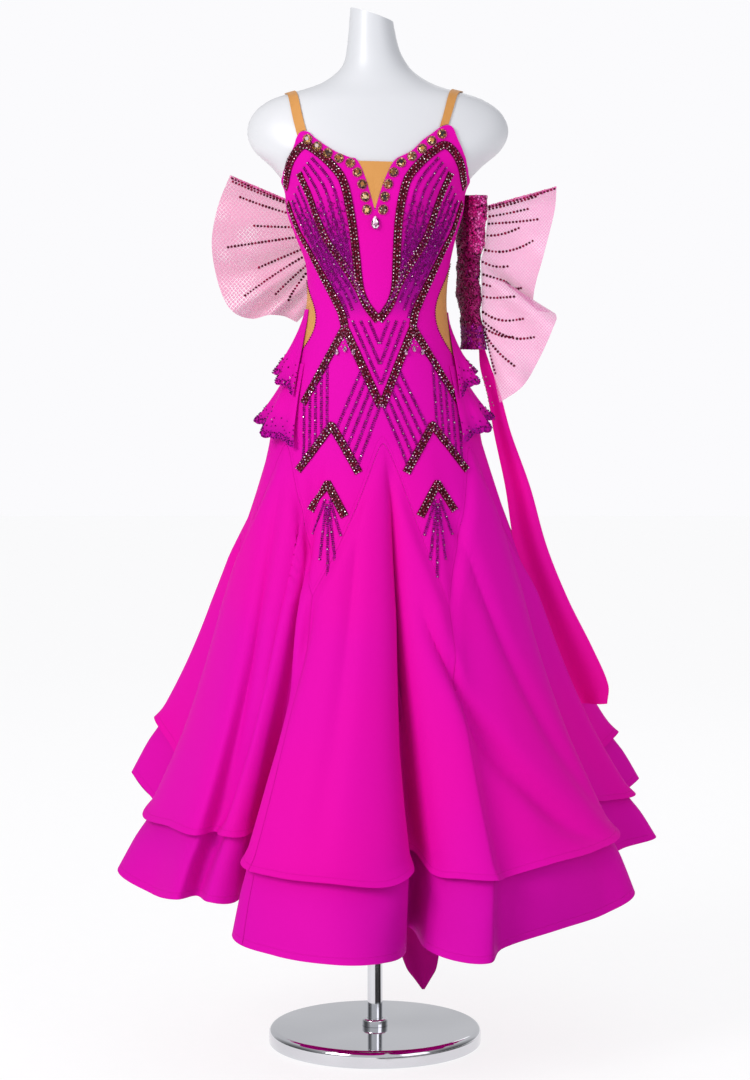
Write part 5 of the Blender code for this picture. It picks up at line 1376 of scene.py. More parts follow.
def patch_of_cloth(grid, out, share):
    """An open sheet to scatter on, with its outward direction and how thickly it is covered."""
    rows, columns = grid.shape[:2]
    index = np.arange(rows * columns).reshape(rows, columns)
    faces = np.stack([index[:-1, :-1], index[:-1, 1:], index[1:, 1:], index[1:, :-1]], -1).reshape(-1, 4)
    mesh = bpy.data.meshes.new("patch")
    mesh.from_pydata(grid.reshape(-1, 3).tolist(), [], faces.tolist())
    mesh.attributes.new("out", "FLOAT_VECTOR", "POINT").data.foreach_set(
        "vector", np.broadcast_to(out, grid.shape).astype(np.float32).ravel())
    mesh.attributes.new("share", "FLOAT", "POINT").data.foreach_set(
        "value", np.broadcast_to(share, grid.shape[:2]).astype(np.float32).ravel())
    return mesh


# %% [markdown]
# ## Finishes of beads, sequins and crystals
# Each bead carries one random number, its tone. Glass beads and sequins use it to shift between
# neighbouring shades, and crystals to shift how bright they are, so that a row never looks printed. The
# crystals' brightness is painted glint, bright on only a few of them.

# %% Bead finishes
def bead_finish(name, dark, light, roughness, metallic):
    """Most beads are near the dark shade, because a tone between 0 and 1 gets smaller when squared."""
    material, shader, start = finish(name, {"Metallic": metallic, "Specular IOR Level": 0.12})
    tone = distance_to(start, "tone")
    plug((tone ** 2.0).blend(dark, light), shader, "Base Color")
    plug(tone * 0.18 + roughness, shader, "Roughness")
    return material


MAROON = bead_finish("maroon_glass", (0.048, 0.0003, 0.007, 1), (0.32, 0.001, 0.050, 1), 0.42, 0.08)
VIOLET = bead_finish("violet_glass", (0.135, 0.0006, 0.100, 1), (0.44, 0.006, 0.38, 1), 0.42, 0.08)
ROSE = bead_finish("rose_sequin", (0.72, 0.003, 0.26, 1), (1.0, 0.24, 0.66, 1), 0.22, 0.40)
WINE = bead_finish("wine_sequin", (0.060, 0.0004, 0.016, 1), (0.38, 0.003, 0.15, 1), 0.20, 0.45)
PLUM = bead_finish("plum_sequin", (0.095, 0.001, 0.085, 1), (0.42, 0.008, 0.40, 1), 0.20, 0.45)
# a crystal's tone sets how bright it is: painted glints
CRYSTAL = bead_finish("clear_crystal", (0.36, 0.08, 0.18, 1), (1.0, 0.93, 1.0, 1), 0.05, 0.60)
print("bead trees:", [tree.name for tree in TREES.values()])

# %% [markdown]
# ## Lines sewn on the bodice
# The design is planned flat, as distances from a centre line, and mirrored. A plan point goes onto the
# cloth where the cloth has that distance and height, found by halving an angle range again and again.
# Rows beside a line are moved over in the plane of the cloth, at right angles to the line. A wide band is a
# strip of dark sequin cloth with five rows of garnet beads, two rows of crystals between them and a few
# larger crystals down its middle. A thin line is a double row of violet beads with a rare crystal on it.

# %% Lines on the cloth
# below the V the design's centre line drifts a little to the right of the middle
DRIFT, DRIFT_FROM, DRIFT_TALL = 0.012, 1.36, 0.367
FRONT_REACH, PLACE_HALVINGS = 89.5, 34


def centre(z):
    """How far to one side the design's centre line is at a height."""
    return DRIFT * np.clip((DRIFT_FROM - z) / DRIFT_TALL, 0, 1)


def on_front(x, z):
    """The front's outer face and outward direction at a distance across and a height."""
    x, z = np.broadcast_arrays(np.asarray(x, float), np.asarray(z, float))
    low, high = np.full(x.shape, -FRONT_REACH), np.full(x.shape, FRONT_REACH)
    for _ in range(PLACE_HALVINGS):
        middle = (low + high) / 2
        short = dress_at(middle, z)[..., 0] < x
        low, high = np.where(short, middle, low), np.where(short, high, middle)
    return dress_at(middle, z), outward(dress_at, middle, z)


def lengths(rows):
    """How far along its own line each point of a run is, in a plane or in space."""
    return np.concatenate([[0], np.cumsum(np.linalg.norm(np.diff(rows, axis=0), axis=1))])


def plan(rows, sign, bend=True, step=0.002):
    """Plan points as a fine run on the cloth, for one side."""
    rows = np.array(rows, float)
    far = lengths(rows)
    along = np.linspace(0, far[-1], max(int(far[-1] / step), 3))
    read = curve if bend and len(rows) > 2 else line
    table = np.column_stack([far, rows])
    x, z = read(table, along, 1), read(table, along, 2)
    return on_front(centre(z) + sign * x, z)


def beside(run, away, lift):
    """A run moved sideways in the plane of the cloth, and lifted off it."""
    place, out = run
    side = unit(np.cross(out, np.gradient(place, axis=0)))
    return place + side * away + out * lift, out


BAND_A = [(0.143, 1.400), (0.1335, 1.440), (0.112, 1.464), (0.091, 1.453), (0.070, 1.434), (0.054, 1.414),
          (0.046, 1.393), (0.037, 1.345), (0.032, 1.290), (0.028, 1.240), (0.020, 1.215), (0.001, 1.188)]
BAND_B = [(0.120, 1.420), (0.104, 1.385), (0.092, 1.350), (0.078, 1.315), (0.055, 1.280), (0.036, 1.250),
          (0.027, 1.232)]
BAND_C = [(0.139, 1.374), (0.123, 1.330), (0.107, 1.299), (0.087, 1.259), (0.060, 1.204), (0.054, 1.180)]
NODE, POINT_LOW, HIP = (0.054, 1.176), (0.001, 1.052), (0.124, 1.056)
LINE_D, LINE_E = [NODE, POINT_LOW], [NODE, HIP]
ZIG = [(0.134, 0.950), (0.080, 1.022), (0.038, 0.948)]
ARROW = [(0.114, 0.887), (0.087, 0.930), (0.060, 0.880)]
BANDS = [(BAND_A, True), (BAND_B, True), (BAND_C, True), (LINE_D, False), (LINE_E, False), (ZIG, False),
         (ARROW, False)]


def between(first, second, share, start=0.0, stop=1.0, count=24):
    """Plan points a share of the way from one line to another."""
    runs = []
    for rows in (first, second):
        rows = np.array(rows, float)
        far = lengths(rows)
        at = np.linspace(start, stop, count) * far[-1]
        runs.append(np.column_stack([np.interp(at, far, rows[:, 0]), np.interp(at, far, rows[:, 1])]))
    return mix(runs[0], runs[1], share)


# %% Plan the bands, the thin lines and the fans
# how far the rows of a band and of a thin line are moved over, and how high beads and crystals sit
GARNET_ROWS = (-0.0058, -0.0030, 0.0, 0.0030, 0.0058)
CRYSTAL_ROWS, VIOLET_ROWS = (-0.0044, 0.0044), (-0.0013, 0.0013)
BEAD_LIFT, CRYSTAL_LIFT, SPRINKLE_LIFT, SPRINKLE_ROW, SEWN_ON = 0.0010, 0.0020, 0.0022, 0.0004, 0.0008
# thin lines between the cup bands, as shares of the way across
CUP_LINES, SIDE_LINES, SIDE_LINES_FROM = (0.30, 0.52, 0.74), (0.28, 0.52, 0.76), 0.04
# thin V lines below the cups: the height where each ends and the x where it starts
V_LINES, V_LINES_TOP, V_LINES_END = ((1.088, 0.041), (1.120, 0.028), (1.152, 0.015)), 1.186, 0.0012
# fan lines under the arrow: where each ends; they start this share of the way from their common root
FAN_ROOT, FAN_START = (0.087, 0.916), 0.18
FAN = [(0.110, 0.850), (0.099, 0.812), (0.086, 0.785), (0.075, 0.812), (0.066, 0.850)]
# a triangle of crystals hangs from each node: rows, half width gained and drop in each, height of its top
TRIANGLE_ROWS, TRIANGLE_WIDEN, TRIANGLE_DROP, TRIANGLE_TOP = 5, 0.0034, 0.0052, 1.172
# five thin lines run from each lower line to a leg of the zigzag: the lines, and the shares along both
LEG_LINES = 5
LEGS = ((LINE_D, ZIG[1:], (0.50, 0.98), (0.14, 0.92)), (LINE_E, ZIG[:2][::-1], (0.42, 0.98), (0.14, 0.86)))

garnet, crystal, sprinkled, violet, glinting, ribbons = [], [], [], [], [], []
for sign in (-1, 1):
    for rows, bend in BANDS:
        run = plan(rows, sign, bend)
        ribbons.append(run)
        garnet += [beside(run, away, BEAD_LIFT) for away in GARNET_ROWS]
        crystal += [beside(run, away, CRYSTAL_LIFT) for away in CRYSTAL_ROWS]
        sprinkled.append(beside(run, SPRINKLE_ROW, SPRINKLE_LIFT))
    thin = [between(BAND_A[3:], BAND_B, share) for share in CUP_LINES]
    thin += [between(BAND_B, BAND_C, share, SIDE_LINES_FROM) for share in SIDE_LINES]
    thin += [[(x, V_LINES_TOP), (V_LINES_END, tip)] for tip, x in V_LINES]
    for upper, lower, starts, stops in LEGS:
        shares = zip(np.linspace(*starts, LEG_LINES), np.linspace(*stops, LEG_LINES))
        thin += [[mix(*np.array(upper), high), mix(*np.array(lower), low)] for high, low in shares]
    thin += [[mix(np.array(FAN_ROOT), np.array(tip), FAN_START), tip] for tip in FAN]
    for rows in thin:
        run = plan(rows, sign, len(rows) > 2)
        violet += [beside(run, away, BEAD_LIFT) for away in VIOLET_ROWS]
        glinting.append(beside(run, 0.0, SPRINKLE_LIFT))
    for row in range(1, TRIANGLE_ROWS + 1):
        wide, drop = TRIANGLE_WIDEN * row, TRIANGLE_TOP - TRIANGLE_DROP * row
        across = np.linspace(NODE[0] - wide, NODE[0] + wide, 2 + row)
        place, out = on_front(centre(drop) + sign * across, np.full(len(across), drop))
        crystal.append((place + out * SEWN_ON, out))
print("sewn rows:", len(garnet), "garnet,", len(crystal), "crystal,", len(violet), "violet")

# %% Bands, beads and crystals
BAND_CLOTH = bead_finish("maroon_band_cloth", (0.085, 0.0006, 0.012, 1), (0.14, 0.001, 0.02, 1), 0.45, 0.0)


def ribbon(run, half=0.0062, thick=0.0005, air=0.0002):
    """A narrow strip of sequin cloth that lies under the bead rows of a band."""
    place, out = run
    side = unit(np.cross(out, np.gradient(place, axis=0)))
    across = np.linspace(-half, half, 3)
    middle = place[:, None] + side[:, None] * across[None, :, None]
    return middle + out[:, None] * (air + thick), middle + out[:, None] * air


def finished(shape, name, material):
    """Ends a bmesh as an object with one material."""
    mesh = bpy.data.meshes.new(name)
    shape.to_mesh(mesh)
    shape.free()
    mesh.materials.append(material)
    return placed(mesh)


strips = bmesh.new()
for run in ribbons:
    strip = wall("strip", *ribbon(run), BAND_CLOTH)
    strips.from_mesh(strip.data)
    bpy.data.objects.remove(strip)
seat(finished(strips, "bead_bands", BAND_CLOTH), "beaded")
grow("maroon_rows", sewn_lines(garnet), "bead", False, MAROON, "beaded",
     Step=0.0031, Size=0.0029, Tilt=0.3, Seed=11)
grow("crystal_rows", sewn_lines(crystal), "gem", False, CRYSTAL, "stones",
     Step=0.0056, Size=0.0025, Tilt=0.35, Seed=12)
grow("band_crystals", sewn_lines(sprinkled), "gem", False, CRYSTAL, "stones",
     Step=0.0098, Size=0.0024, Tilt=0.5, Seed=14)
grow("line_crystals", sewn_lines(glinting), "gem", False, CRYSTAL, "stones",
     Step=0.0210, Size=0.0021, Tilt=0.5, Seed=15)
grow("violet_rows", sewn_lines(violet), "bead", False, VIOLET, "beaded",
     Step=0.0033, Size=0.0028, Tilt=0.3, Seed=13)

# %% [markdown]
# ## Bead fill, edgings and the wings' rows
# Violet beads thicken between the bands of the lower cups, over violet dye. Dark beads edge the tan lenses.
# Small rings of beads edge the hip flounces, with scattered beads and crystals above them that thin out
# upwards. Rows of spaced beads run out over each net wing, some long and some short, and rose sequins
# follow its upper rim. A scatter reads how thickly each spot is covered from a number on the patch.

# %% Violet fill and dye of the cups
FILL_X, FILL_Z, FILL_COLUMNS, FILL_ROWS, FILL_LIFT = (0.026, 0.138), (1.400, 1.205), 70, 110, 0.0007
# gap to the cup's inner and outer band, softness beside them, top and its softness, foot and its softness
CUP_DYE = (0.0, 0.0, 0.012, 1.395, 0.080, 1.190, 0.03)
CUP_FILL = (0.004, 0.002, 0.010, 1.385, 0.065, 1.228, 0.04)


def plan_x(rows, z):
    """How far out a plan line is at a height."""
    rows = np.array(rows)[::-1]
    return np.interp(z, rows[:, 1], rows[:, 0])


def cup_share(x, z, inner_gap, outer_gap, soft, top, top_soft, foot, foot_soft):
    """1 well between a cup's bands, 0 beside them and past its top and foot, with soft edges."""
    share = np.clip((x - plan_x(BAND_A[3:], z) - inner_gap) / soft, 0, 1)
    share = share * np.clip((plan_x(BAND_C, z) - x - outer_gap) / soft, 0, 1)
    return share * np.clip((top - z) / top_soft, 0, 1) * np.clip((z - foot) / foot_soft, 0, 1)


dye_z = FRONT_OUTER[..., 2]
dye_x = np.abs(FRONT_OUTER[..., 0] - centre(dye_z))
store(FRONT.data, "violet", cup_share(dye_x, dye_z, *CUP_DYE))
x, z = np.linspace(*FILL_X, FILL_COLUMNS)[None, :], np.linspace(*FILL_Z, FILL_ROWS)[:, None]
x, z = np.broadcast_arrays(x, z)
fill = cup_share(x, z, *CUP_FILL)
for sign, side in ((-1, "left"), (1, "right")):
    place, out = on_front(centre(z) + sign * x, z)
    grow(f"violet_fill_{side}", patch_of_cloth(place + out * FILL_LIFT, out, fill), "bead", True, VIOLET,
         "beaded", Step=0.0026, Size=0.0025, Tilt=0.4, Seed=21 + sign)

# %% Edging of the lenses
EDGE_TRIM, EDGE_TURN = 0.004, 1.0
edging = []
for side, sign in (("left", -1), ("right", 1)):
    z = np.linspace(INSERT_TOP[side] - EDGE_TRIM, INSERT_LOW + EDGE_TRIM, 90)
    front_edge = 90 - side_edge(REACH_FRONT, side, z) - EDGE_TURN
    back_edge = 90 + side_edge(REACH_BACK, side, z) + EDGE_TURN
    for angle in (front_edge, back_edge):
        out = outward(dress_at, sign * angle, z)
        edging.append((dress_at(sign * angle, z) + out * SEWN_ON, out))
grow("lens_edging", sewn_lines(edging), "bead", False, MAROON, "beaded", Step=0.0042, Size=0.0024, Tilt=0.3,
     Seed=31)

# %% Rings and dots on the hip flounces
RING, RING_STEP, RING_ABOVE_HEM, RING_POINTS, RING_LIFT = 0.0046, 0.0100, 0.001, 15, 0.0010
RING_FIRST, RING_LAST, DOT_ROWS, DOT_THINNEST = 0.006, 0.004, 10, 0.1
rings = []
for outer, out in PEPLUM_SHEETS.values():
    rim, rim_out = outer[-1], out[-1]
    up = unit(outer[-3] - outer[-1])
    far = lengths(rim)
    for at in np.arange(RING_FIRST, far[-1] - RING_LAST, RING_STEP):
        k = int(np.searchsorted(far, at))
        way = unit(rim[min(k + 1, len(rim) - 1)] - rim[k - 1])
        turn = np.linspace(0, 2 * np.pi, RING_POINTS)[:, None]
        place = rim[k] + up[k] * (RING + RING_ABOVE_HEM)
        place = place + RING * (way * np.cos(turn) + up[k] * np.sin(turn))
        rings.append((place + rim_out[k] * RING_LIFT, np.tile(rim_out[k], (RING_POINTS, 1))))
grow("flounce_rings", sewn_lines(rings), "bead", False, PLUM, "beaded", Step=0.0036, Size=0.0027, Tilt=0.3,
     Seed=32)
for name, (outer, out) in PEPLUM_SHEETS.items():
    low, low_out = outer[-DOT_ROWS:-1], out[-DOT_ROWS:-1]
    thick = np.linspace(DOT_THINNEST, 1.0, DOT_ROWS - 1)[:, None] + 0 * low[..., 0]
    dark = WINE if "upper" in name else PLUM
    for tag, colour, share, step in (("garnet", dark, 1.0, 0.0072), ("clear", CRYSTAL, 0.5, 0.0125)):
        dots = patch_of_cloth(low + low_out * SEWN_ON, low_out, thick * share)
        grow(f"flounce_{tag}_{name}", dots, "bead", True, colour, "beaded", Step=step, Size=0.0026,
             Tilt=0.3, Seed=35)

# %% Rows on the wings
# share down the wing at the row's root and at its end, then how far it reaches towards the outer edge
WING_BEADS = {
    "right": ((0.012, 0.008, 0.97), (0.030, 0.022, 0.70), (0.085, 0.085, 0.59), (0.14, 0.14, 0.76),
              (0.23, 0.17, 0.50), (0.34, 0.21, 0.77), (0.43, 0.34, 0.46), (0.53, 0.38, 0.76),
              (0.60, 0.58, 0.12), (0.70, 0.55, 0.44), (0.82, 0.63, 0.62), (0.89, 0.66, 0.83),
              (0.94, 0.73, 0.57), (0.975, 0.84, 0.75), (0.99, 0.985, 0.60)),
    "left": ((0.012, 0.008, 0.96), (0.026, 0.020, 0.94), (0.100, 0.075, 0.79), (0.195, 0.205, 0.56),
             (0.28, 0.30, 0.83), (0.39, 0.42, 0.54), (0.46, 0.525, 0.78), (0.555, 0.63, 0.49),
             (0.625, 0.785, 0.45)),
}
# share down the wing and how far a row of rim sequins reaches
WING_RIM = ((0.003, 0.98), (0.009, 0.97), (0.015, 0.80))
ROW_ROOT, ROW_POINTS, ROW_SAG, WING_STEP = 0.03, 60, 0.003, 0.004


def on_wing(side, down, reach):
    """A run on a wing's net and its outward directions."""
    place = wing_at(side, np.clip(down, 0, 1), reach)
    lower = wing_at(side, np.clip(down + WING_STEP, 0, 1), reach)
    upper = wing_at(side, np.clip(down - WING_STEP, 0, 1), reach)
    return place, unit(np.cross(np.gradient(place, axis=0), lower - upper))


wing_rows, wing_rim = [], []
for side, rows in WING_BEADS.items():
    for root, end, stop in rows:
        reach = np.linspace(ROW_ROOT, stop, ROW_POINTS)
        down = mix(root, end, reach / stop) + ROW_SAG * np.sin(np.pi * reach / stop)
        wing_rows.append(on_wing(side, down, reach))
    for level, stop in WING_RIM:
        reach = np.linspace(ROW_ROOT, stop, ROW_POINTS)
        wing_rim.append(on_wing(side, level + 0 * reach, reach))
grow("wing_rows", sewn_lines(wing_rows), "bead", False, MAROON, "net", Step=0.0056, Size=0.0050, Tilt=0.2,
     Seed=33)
grow("wing_rims", sewn_lines(wing_rim), "sequin", False, ROSE, "net", Step=0.0034, Size=0.0042, Tilt=0.6,
     Seed=34)

# %% [markdown]
# ## Sequins on the arm tubes
# Flat cupped sequins cover both arm tubes, wine coloured, with a brighter rose cuff at the top of the right
# one and a plum cuff at its lower end. They tilt every way, so a few always flash, and a few crystals lie
# among them. Each colour is a scatter of its own over the whole tube, with its own share of cover. A last
# cluster of crystals is sewn to the top of the float.

# %% Sequins
SEQUIN_STEPS, SEQUIN_LAP, SEQUIN_AIR = {"left": 0.0041, "right": 0.0034}, 0.0006, 0.0006
SEQUIN_TRIM, SEQUIN_ROWS, SEQUIN_COLUMNS = 0.004, 90, 91
# shares of the right tube's length: where the rose cuff ends and where the plum cuff starts
ROSE_END, PLUM_START, CUFF_REACH = 0.38, 0.84, 0.006
ROSE_CUFF, PLUM_CUFF, ROSE_STRAY, PLUM_STRAY, GLINTS = 0.95, 0.9, 0.03, 0.08, 0.05

for side in ARM_PLACES:
    share = np.linspace(SEQUIN_TRIM, 1 - SEQUIN_TRIM, SEQUIN_ROWS)[:, None]
    share, turn = np.broadcast_arrays(share, np.linspace(0, 2 * np.pi, SEQUIN_COLUMNS)[None, :])
    dents = np.concatenate([TUBE_DENTS[side], TUBE_DENTS[side][:, :1]], 1)
    rows_at = np.linspace(0, len(dents) - 1, SEQUIN_ROWS)[:, None].astype(int)
    columns_at = np.linspace(0, dents.shape[1] - 1, SEQUIN_COLUMNS)[None, :].astype(int)
    grid = arm_at(side, share, turn, dents[rows_at, columns_at] - SEQUIN_AIR)
    out = cross_out(grid)
    middle = arm_axes(side)[0]
    from_middle = grid - points(middle[0], middle[1], grid[..., 2])
    out = out * np.sign(np.sum(out * from_middle, -1, keepdims=True))
    cuff = (share < ROSE_END) * (grid[..., 0] > middle[0] - CUFF_REACH) * (side == "right")
    low_cuff = (share > PLUM_START) * (side == "right")
    covers = (("wine", (1 - cuff * ROSE_CUFF) * (1 - low_cuff * PLUM_CUFF), WINE),
              ("rose", ROSE_STRAY + cuff * ROSE_CUFF, ROSE),
              ("plum", PLUM_STRAY + low_cuff * PLUM_CUFF, PLUM))
    for tag, cover, colour in covers:
        grow(f"sequins_{tag}_{side}", patch_of_cloth(grid, out, cover), "sequin", True, colour, "sequin",
             Step=SEQUIN_STEPS[side], Size=SEQUIN_STEPS[side] + SEQUIN_LAP, Tilt=0.5, Seed=41)
    glints = patch_of_cloth(grid + out * SEWN_ON, out, GLINTS + 0 * share)
    grow(f"sequins_glint_{side}", glints, "gem", True, CRYSTAL, "stones", Step=0.0050, Size=0.0024,
         Tilt=0.4, Seed=42)

# %% Cluster on the float
CLUSTER_FROM, CLUSTER_ROWS, CLUSTER_COLUMNS, CLUSTER_THINNEST = 2, 20, 14, 0.2
front_face = FLOAT_MIDDLE - HALF_CLOTH - np.array((0, SEQUIN_AIR, 0))
cluster = front_face[CLUSTER_FROM:CLUSTER_FROM + CLUSTER_ROWS, :CLUSTER_COLUMNS]
thick = np.sin(np.linspace(0, np.pi, CLUSTER_ROWS))[:, None]
thick = thick * np.linspace(1, CLUSTER_THINNEST, CLUSTER_COLUMNS)[None, :]
cluster = patch_of_cloth(cluster, np.array((0, -1.0, 0)), thick)
grow("float_cluster", cluster, "gem", True, CRYSTAL, "stones", Step=0.0050, Size=0.0028, Tilt=0.4, Seed=43)

# %% [markdown]
# ## Set stones
# Nine oval stones in cups run up each side of the neckline, and a drop hangs under its point. Three small
# drops hang below each node of the bands. A stone is cut with a flat table, a ring of crown facets and a
# girdle. Every facet gets its own shade from gold to dark brown, a painted reflection, because a foiled
# stone mirrors a different part of the room in each facet.

# %% Stone finishes
def facet_finish(name, stops):
    """A foiled stone: each facet's tone picks its shade from the stops, as a painted reflection of the room.
    """
    constants = {"Metallic": 0.45, "Roughness": 0.07, "Coat Weight": 0.8, "Coat Roughness": 0.03}
    material, shader, start = finish(name, constants)
    shade = start.node("ShaderNodeValToRGB", {"stops": stops}, {"Fac": distance_to(start, "tone")})
    plug(shade, shader, "Base Color")
    return material


# amber and clear pink are the stones' own colours; the spread from dark to bright facets is painted
# reflection
AMBER = facet_finish("amber_stone", [
    (0.0, (0.010, 0.002, 0.002)), (0.48, (0.040, 0.009, 0.004)), (0.68, (0.32, 0.09, 0.012)),
    (0.88, (0.80, 0.42, 0.08)), (1.0, (1.0, 0.86, 0.62))])
PINK_CLEAR = facet_finish("clear_pink_stone", [
    (0.0, (0.03, 0.004, 0.02)), (0.45, (0.22, 0.05, 0.14)), (0.7, (0.75, 0.42, 0.62)),
    (1.0, (1.0, 0.95, 1.0))])
CUP_METAL = bead_finish("stone_cup_metal", (0.42, 0.24, 0.06, 1), (0.85, 0.55, 0.18, 1), 0.15, 1.0)
print("stone finishes:", AMBER.name, PINK_CLEAR.name, CUP_METAL.name)


# %% Cut the stones
# rings of a stone from its back to its table: share of the half width, share of the height, part of a step
# that the ring is turned
STONE_SIDES, STONE_RINGS = 10, ((0.96, 0.0, 0.0), (1.0, 0.28, 0.0), (0.80, 0.68, 0.5), (0.46, 1.0, 0.0))
# rings of a drop from its top: height from the middle as a share of the half height, and half width
DROP_SIDES, DROP_RINGS = 9, ((0.90, 0.26), (0.55, 0.62), (0.10, 0.96), (-0.35, 1.0), (-0.75, 0.66))


def ring_of(half_x, half_y, height, count, offset=0.0):
    """Corners of a level oval ring."""
    turn = 2 * np.pi * (np.arange(count) + offset) / count
    return np.column_stack([half_x * np.cos(turn), half_y * np.sin(turn), np.full(count, height)])


def cut_stone(shape, layer, place, right, up, out, half_x, half_y, high, tones):
    """Adds one faceted stone to a mesh: flat back, girdle, crown and table."""
    axes = np.column_stack([right, up, out])
    rings = []
    for wide, rise, step in STONE_RINGS:
        level = ring_of(half_x * wide, half_y * wide, high * rise, STONE_SIDES, step)
        rings.append([shape.verts.new(place + axes @ corner) for corner in level])
    back, girdle, crown, table = rings
    faces = []
    for lower, higher in zip(rings, rings[1:]):
        for k in range(STONE_SIDES):
            after = (k + 1) % STONE_SIDES
            if higher is girdle:
                faces.append((lower[k], lower[after], higher[after], higher[k]))
            elif higher is crown:
                faces += [(lower[k], lower[after], higher[k]), (lower[after], higher[after], higher[k])]
            else:
                faces += [(lower[k], higher[after], higher[k]), (lower[k], lower[after], higher[after])]
    faces += [table, back[::-1]]
    for corners in faces:
        shape.faces.new(corners)[layer] = float(tones.random())


def cut_drop(shape, layer, place, right, up, out, half_x, half_y, half_z, tones):
    """Adds a faceted drop, with a long point above and a blunt one below, that hangs before the cloth."""
    rings = []
    for number, (height, wide) in enumerate(DROP_RINGS):
        level = ring_of(half_x * wide, half_y * wide, half_z * height, DROP_SIDES, 0.5 * (number % 2))
        rings.append([shape.verts.new(place + right * x + out * y + up * h) for x, y, h in level])
    faces = []
    for upper, lower in zip(rings, rings[1:]):
        for k in range(DROP_SIDES):
            after = (k + 1) % DROP_SIDES
            faces += [(upper[k], lower[k], lower[after]), (upper[k], lower[after], upper[after])]
    for cap, high in ((rings[0], 1.0), (rings[-1][::-1], -1.0)):
        tip = shape.verts.new(place + up * half_z * high)
        faces += [(cap[(k + 1) % DROP_SIDES], tip, cap[k]) for k in range(DROP_SIDES)]
    for corners in faces:
        shape.faces.new(corners)[layer] = float(tones.random())


def set_frame(angle, z):
    """A place on the dress, with the directions to its right, up along the cloth and outward."""
    out = outward(dress_at, angle, z)
    up = np.array((0, 0, 1.0)) - out * out[2]
    up = up / np.linalg.norm(up)
    return dress_at(angle, z), np.cross(up, out), up, out


def turned(right, up, degrees):
    """A pair of directions turned in their own plane."""
    lean = math.radians(degrees)
    return right * math.cos(lean) + up * math.sin(lean), up * math.cos(lean) - right * math.sin(lean)


def faceted():
    """An empty mesh in the making, with a tone for each of its faces."""
    shape = bmesh.new()
    return shape, shape.faces.layers.float.new("tone")


# %% Set the stones
STONES, STONE_REACH, STONE_DROP, STONE_FALL, STONE_LEAN = 9, 5.2, 0.002, 0.00825, 24
STONE_HALF_X, STONE_HALF_Y, STONE_HIGH, STONE_LIFT = 0.0066, 0.0072, 0.0046, 0.0012
CUP_WIDER, CUP_LIFT, CUP_POINTS = 0.0007, 0.0016, 25
# the stone row starts beside the V's point, and follows the neck tables up to their seventh column
ROW_START, ROW_COLUMNS = (0, 2.2, 1.3560), 7

for side, neck_rows, sign in (("left", NECK_LEFT, -1), ("right", NECK_RIGHT, 1)):
    neckline = [(row[0], abs(row[1]), row[2] - STONE_DROP) for row in neck_rows[1:ROW_COLUMNS + 1]]
    corners = np.array([ROW_START] + neckline)
    tones = np.random.default_rng(51 + sign)
    shape, layer = faceted()
    clasps = []
    steps = np.linspace(0, ROW_COLUMNS, 141)
    far = lengths(dress_at(sign * line(corners, steps, 1), line(corners, steps, 2)))
    for number in range(STONES):
        column = np.interp(far[-1] * (number + 0.5) / STONES, far, steps)
        angle = np.array(sign * (line(corners, column, 1) + STONE_REACH / 2))
        z = np.array(line(corners, column, 2) - STONE_FALL / 2)
        place, right, up, out = set_frame(angle, z)
        right, up = turned(right, up, -STONE_LEAN * sign)
        cut_stone(shape, layer, place + out * STONE_LIFT, right, up, out, STONE_HALF_X, STONE_HALF_Y,
                  STONE_HIGH, tones)
        turn = np.linspace(0, 2 * np.pi, CUP_POINTS)[:, None]
        wide, tall = (STONE_HALF_X + CUP_WIDER) * right, (STONE_HALF_Y + CUP_WIDER) * up
        rim = place + out * CUP_LIFT + wide * np.cos(turn) + tall * np.sin(turn)
        clasps.append((rim, np.tile(out, (CUP_POINTS, 1))))
    bmesh.ops.recalc_face_normals(shape, faces=shape.faces)
    stone_row = seat(finished(shape, f"neck_stone_row_{side}", AMBER), "stones", f"neck_stones_{side}")
    grow(f"stone_cups_{side}", sewn_lines(clasps), "bead", False, CUP_METAL, "stones", Step=0.0021,
         Size=0.0016, Tilt=0.2, Seed=52)
    print(stone_row.name, len(stone_row.data.polygons), "facets")

# %% Hang the drops
# half width, half thickness and half height of a drop, and how far its middle is off the cloth
CENTRE_DROP, CENTRE_DROP_Z, CENTRE_DROP_OFF = (0.0064, 0.0035, 0.0108), 1.3420, 0.0041
SMALL_DROP, SMALL_DROP_OFF, SMALL_DROPS_Z = (0.0030, 0.0026, 0.0052), 0.0036, 1.14
# how far each small drop hangs to the side of its node, and its height
SMALL_DROPS = ((-0.013, 1.137), (0.0, 1.142), (0.013, 1.137))

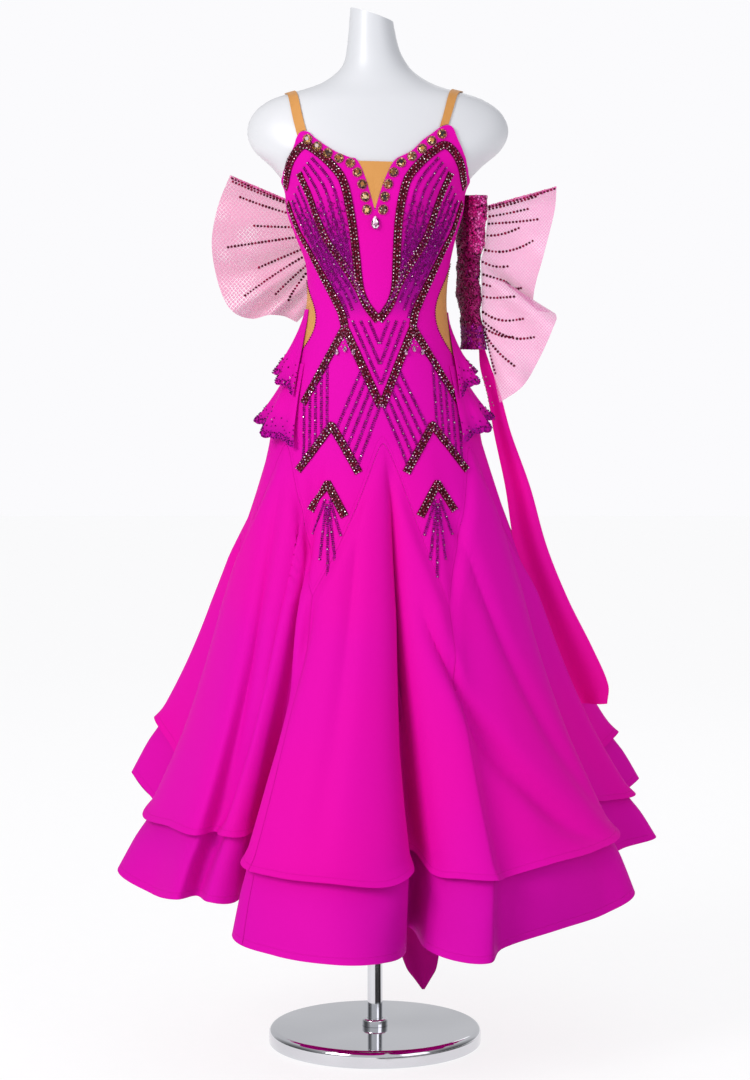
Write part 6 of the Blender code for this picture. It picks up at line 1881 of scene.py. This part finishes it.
shape, layer = faceted()
tones = np.random.default_rng(61)
place, right, up, out = set_frame(np.array(0.0), np.array(CENTRE_DROP_Z))
cut_drop(shape, layer, place + out * CENTRE_DROP_OFF, right, up, out, *CENTRE_DROP, tones)
for sign in (-1, 1):
    for step, low in SMALL_DROPS:
        place, out = on_front(centre(SMALL_DROPS_Z) + sign * (NODE[0] + step), low)
        up = unit(np.array((0, 0, 1.0)) - out * out[2])
        cut_drop(shape, layer, place + out * SMALL_DROP_OFF, np.cross(up, out), up, out, *SMALL_DROP, tones)
bmesh.ops.recalc_face_normals(shape, faces=shape.faces)
drops = seat(finished(shape, "hanging_drops", PINK_CLEAR), "stones", "centre_drop")
print("drops:", len(drops.data.polygons), "facets")

# %% [markdown]
# ## Floor
# The floor is a pale sheet that gives off a little light, so that it is as bright as the room behind it.
# Polished metal looks like whatever stands before it, and before this stand there would be only white. So
# a studio lays black cloth where the camera doesn't see it. Here it is a dark patch in the floor's finish,
# in front of the foot plate and to its right, which only reflections and soft light meet.

# %% Floor finish
FLAG_BACK, FLAG_NEAR, FLAG_FAR = 0.05, 0.24, 0.85
WHITE, BLACK = (1.0, 1.0, 1.0, 1), (0.0, 0.0, 0.0, 1)
material, shader, start = finish("pale_floor", {"Roughness": 0.6, "Specular IOR Level": 0.1,
                                                "Emission Color": WHITE, "Emission Strength": 0.80})
grain = noise(start, object_place(start), 30.0, 3.0)
x, y, _ = object_place(start).axes()
flag = x.step(0.0, 0.02) * (FLAG_BACK - y).step(0.0, 0.03)
reach = (x * x + y * y) ** 0.5
flag = flag * (reach - FLAG_NEAR).step(0.0, 0.04) * (FLAG_FAR - reach).step(0.0, 0.1)
flag = flag * (1 - start.node("ShaderNodeLightPath"))
floor_tone = grain.step(0.3, 0.7).blend((0.20, 0.20, 0.21, 1), (0.21, 0.21, 0.22, 1))
plug(flag.blend(floor_tone, (0.01, 0.01, 0.01, 1)), shader, "Base Color")
plug(flag.blend(WHITE, BLACK), shader, "Emission Color")
floor_mesh.materials.append(material)
print("floor at", FLOOR_Z, "finish", material.name)
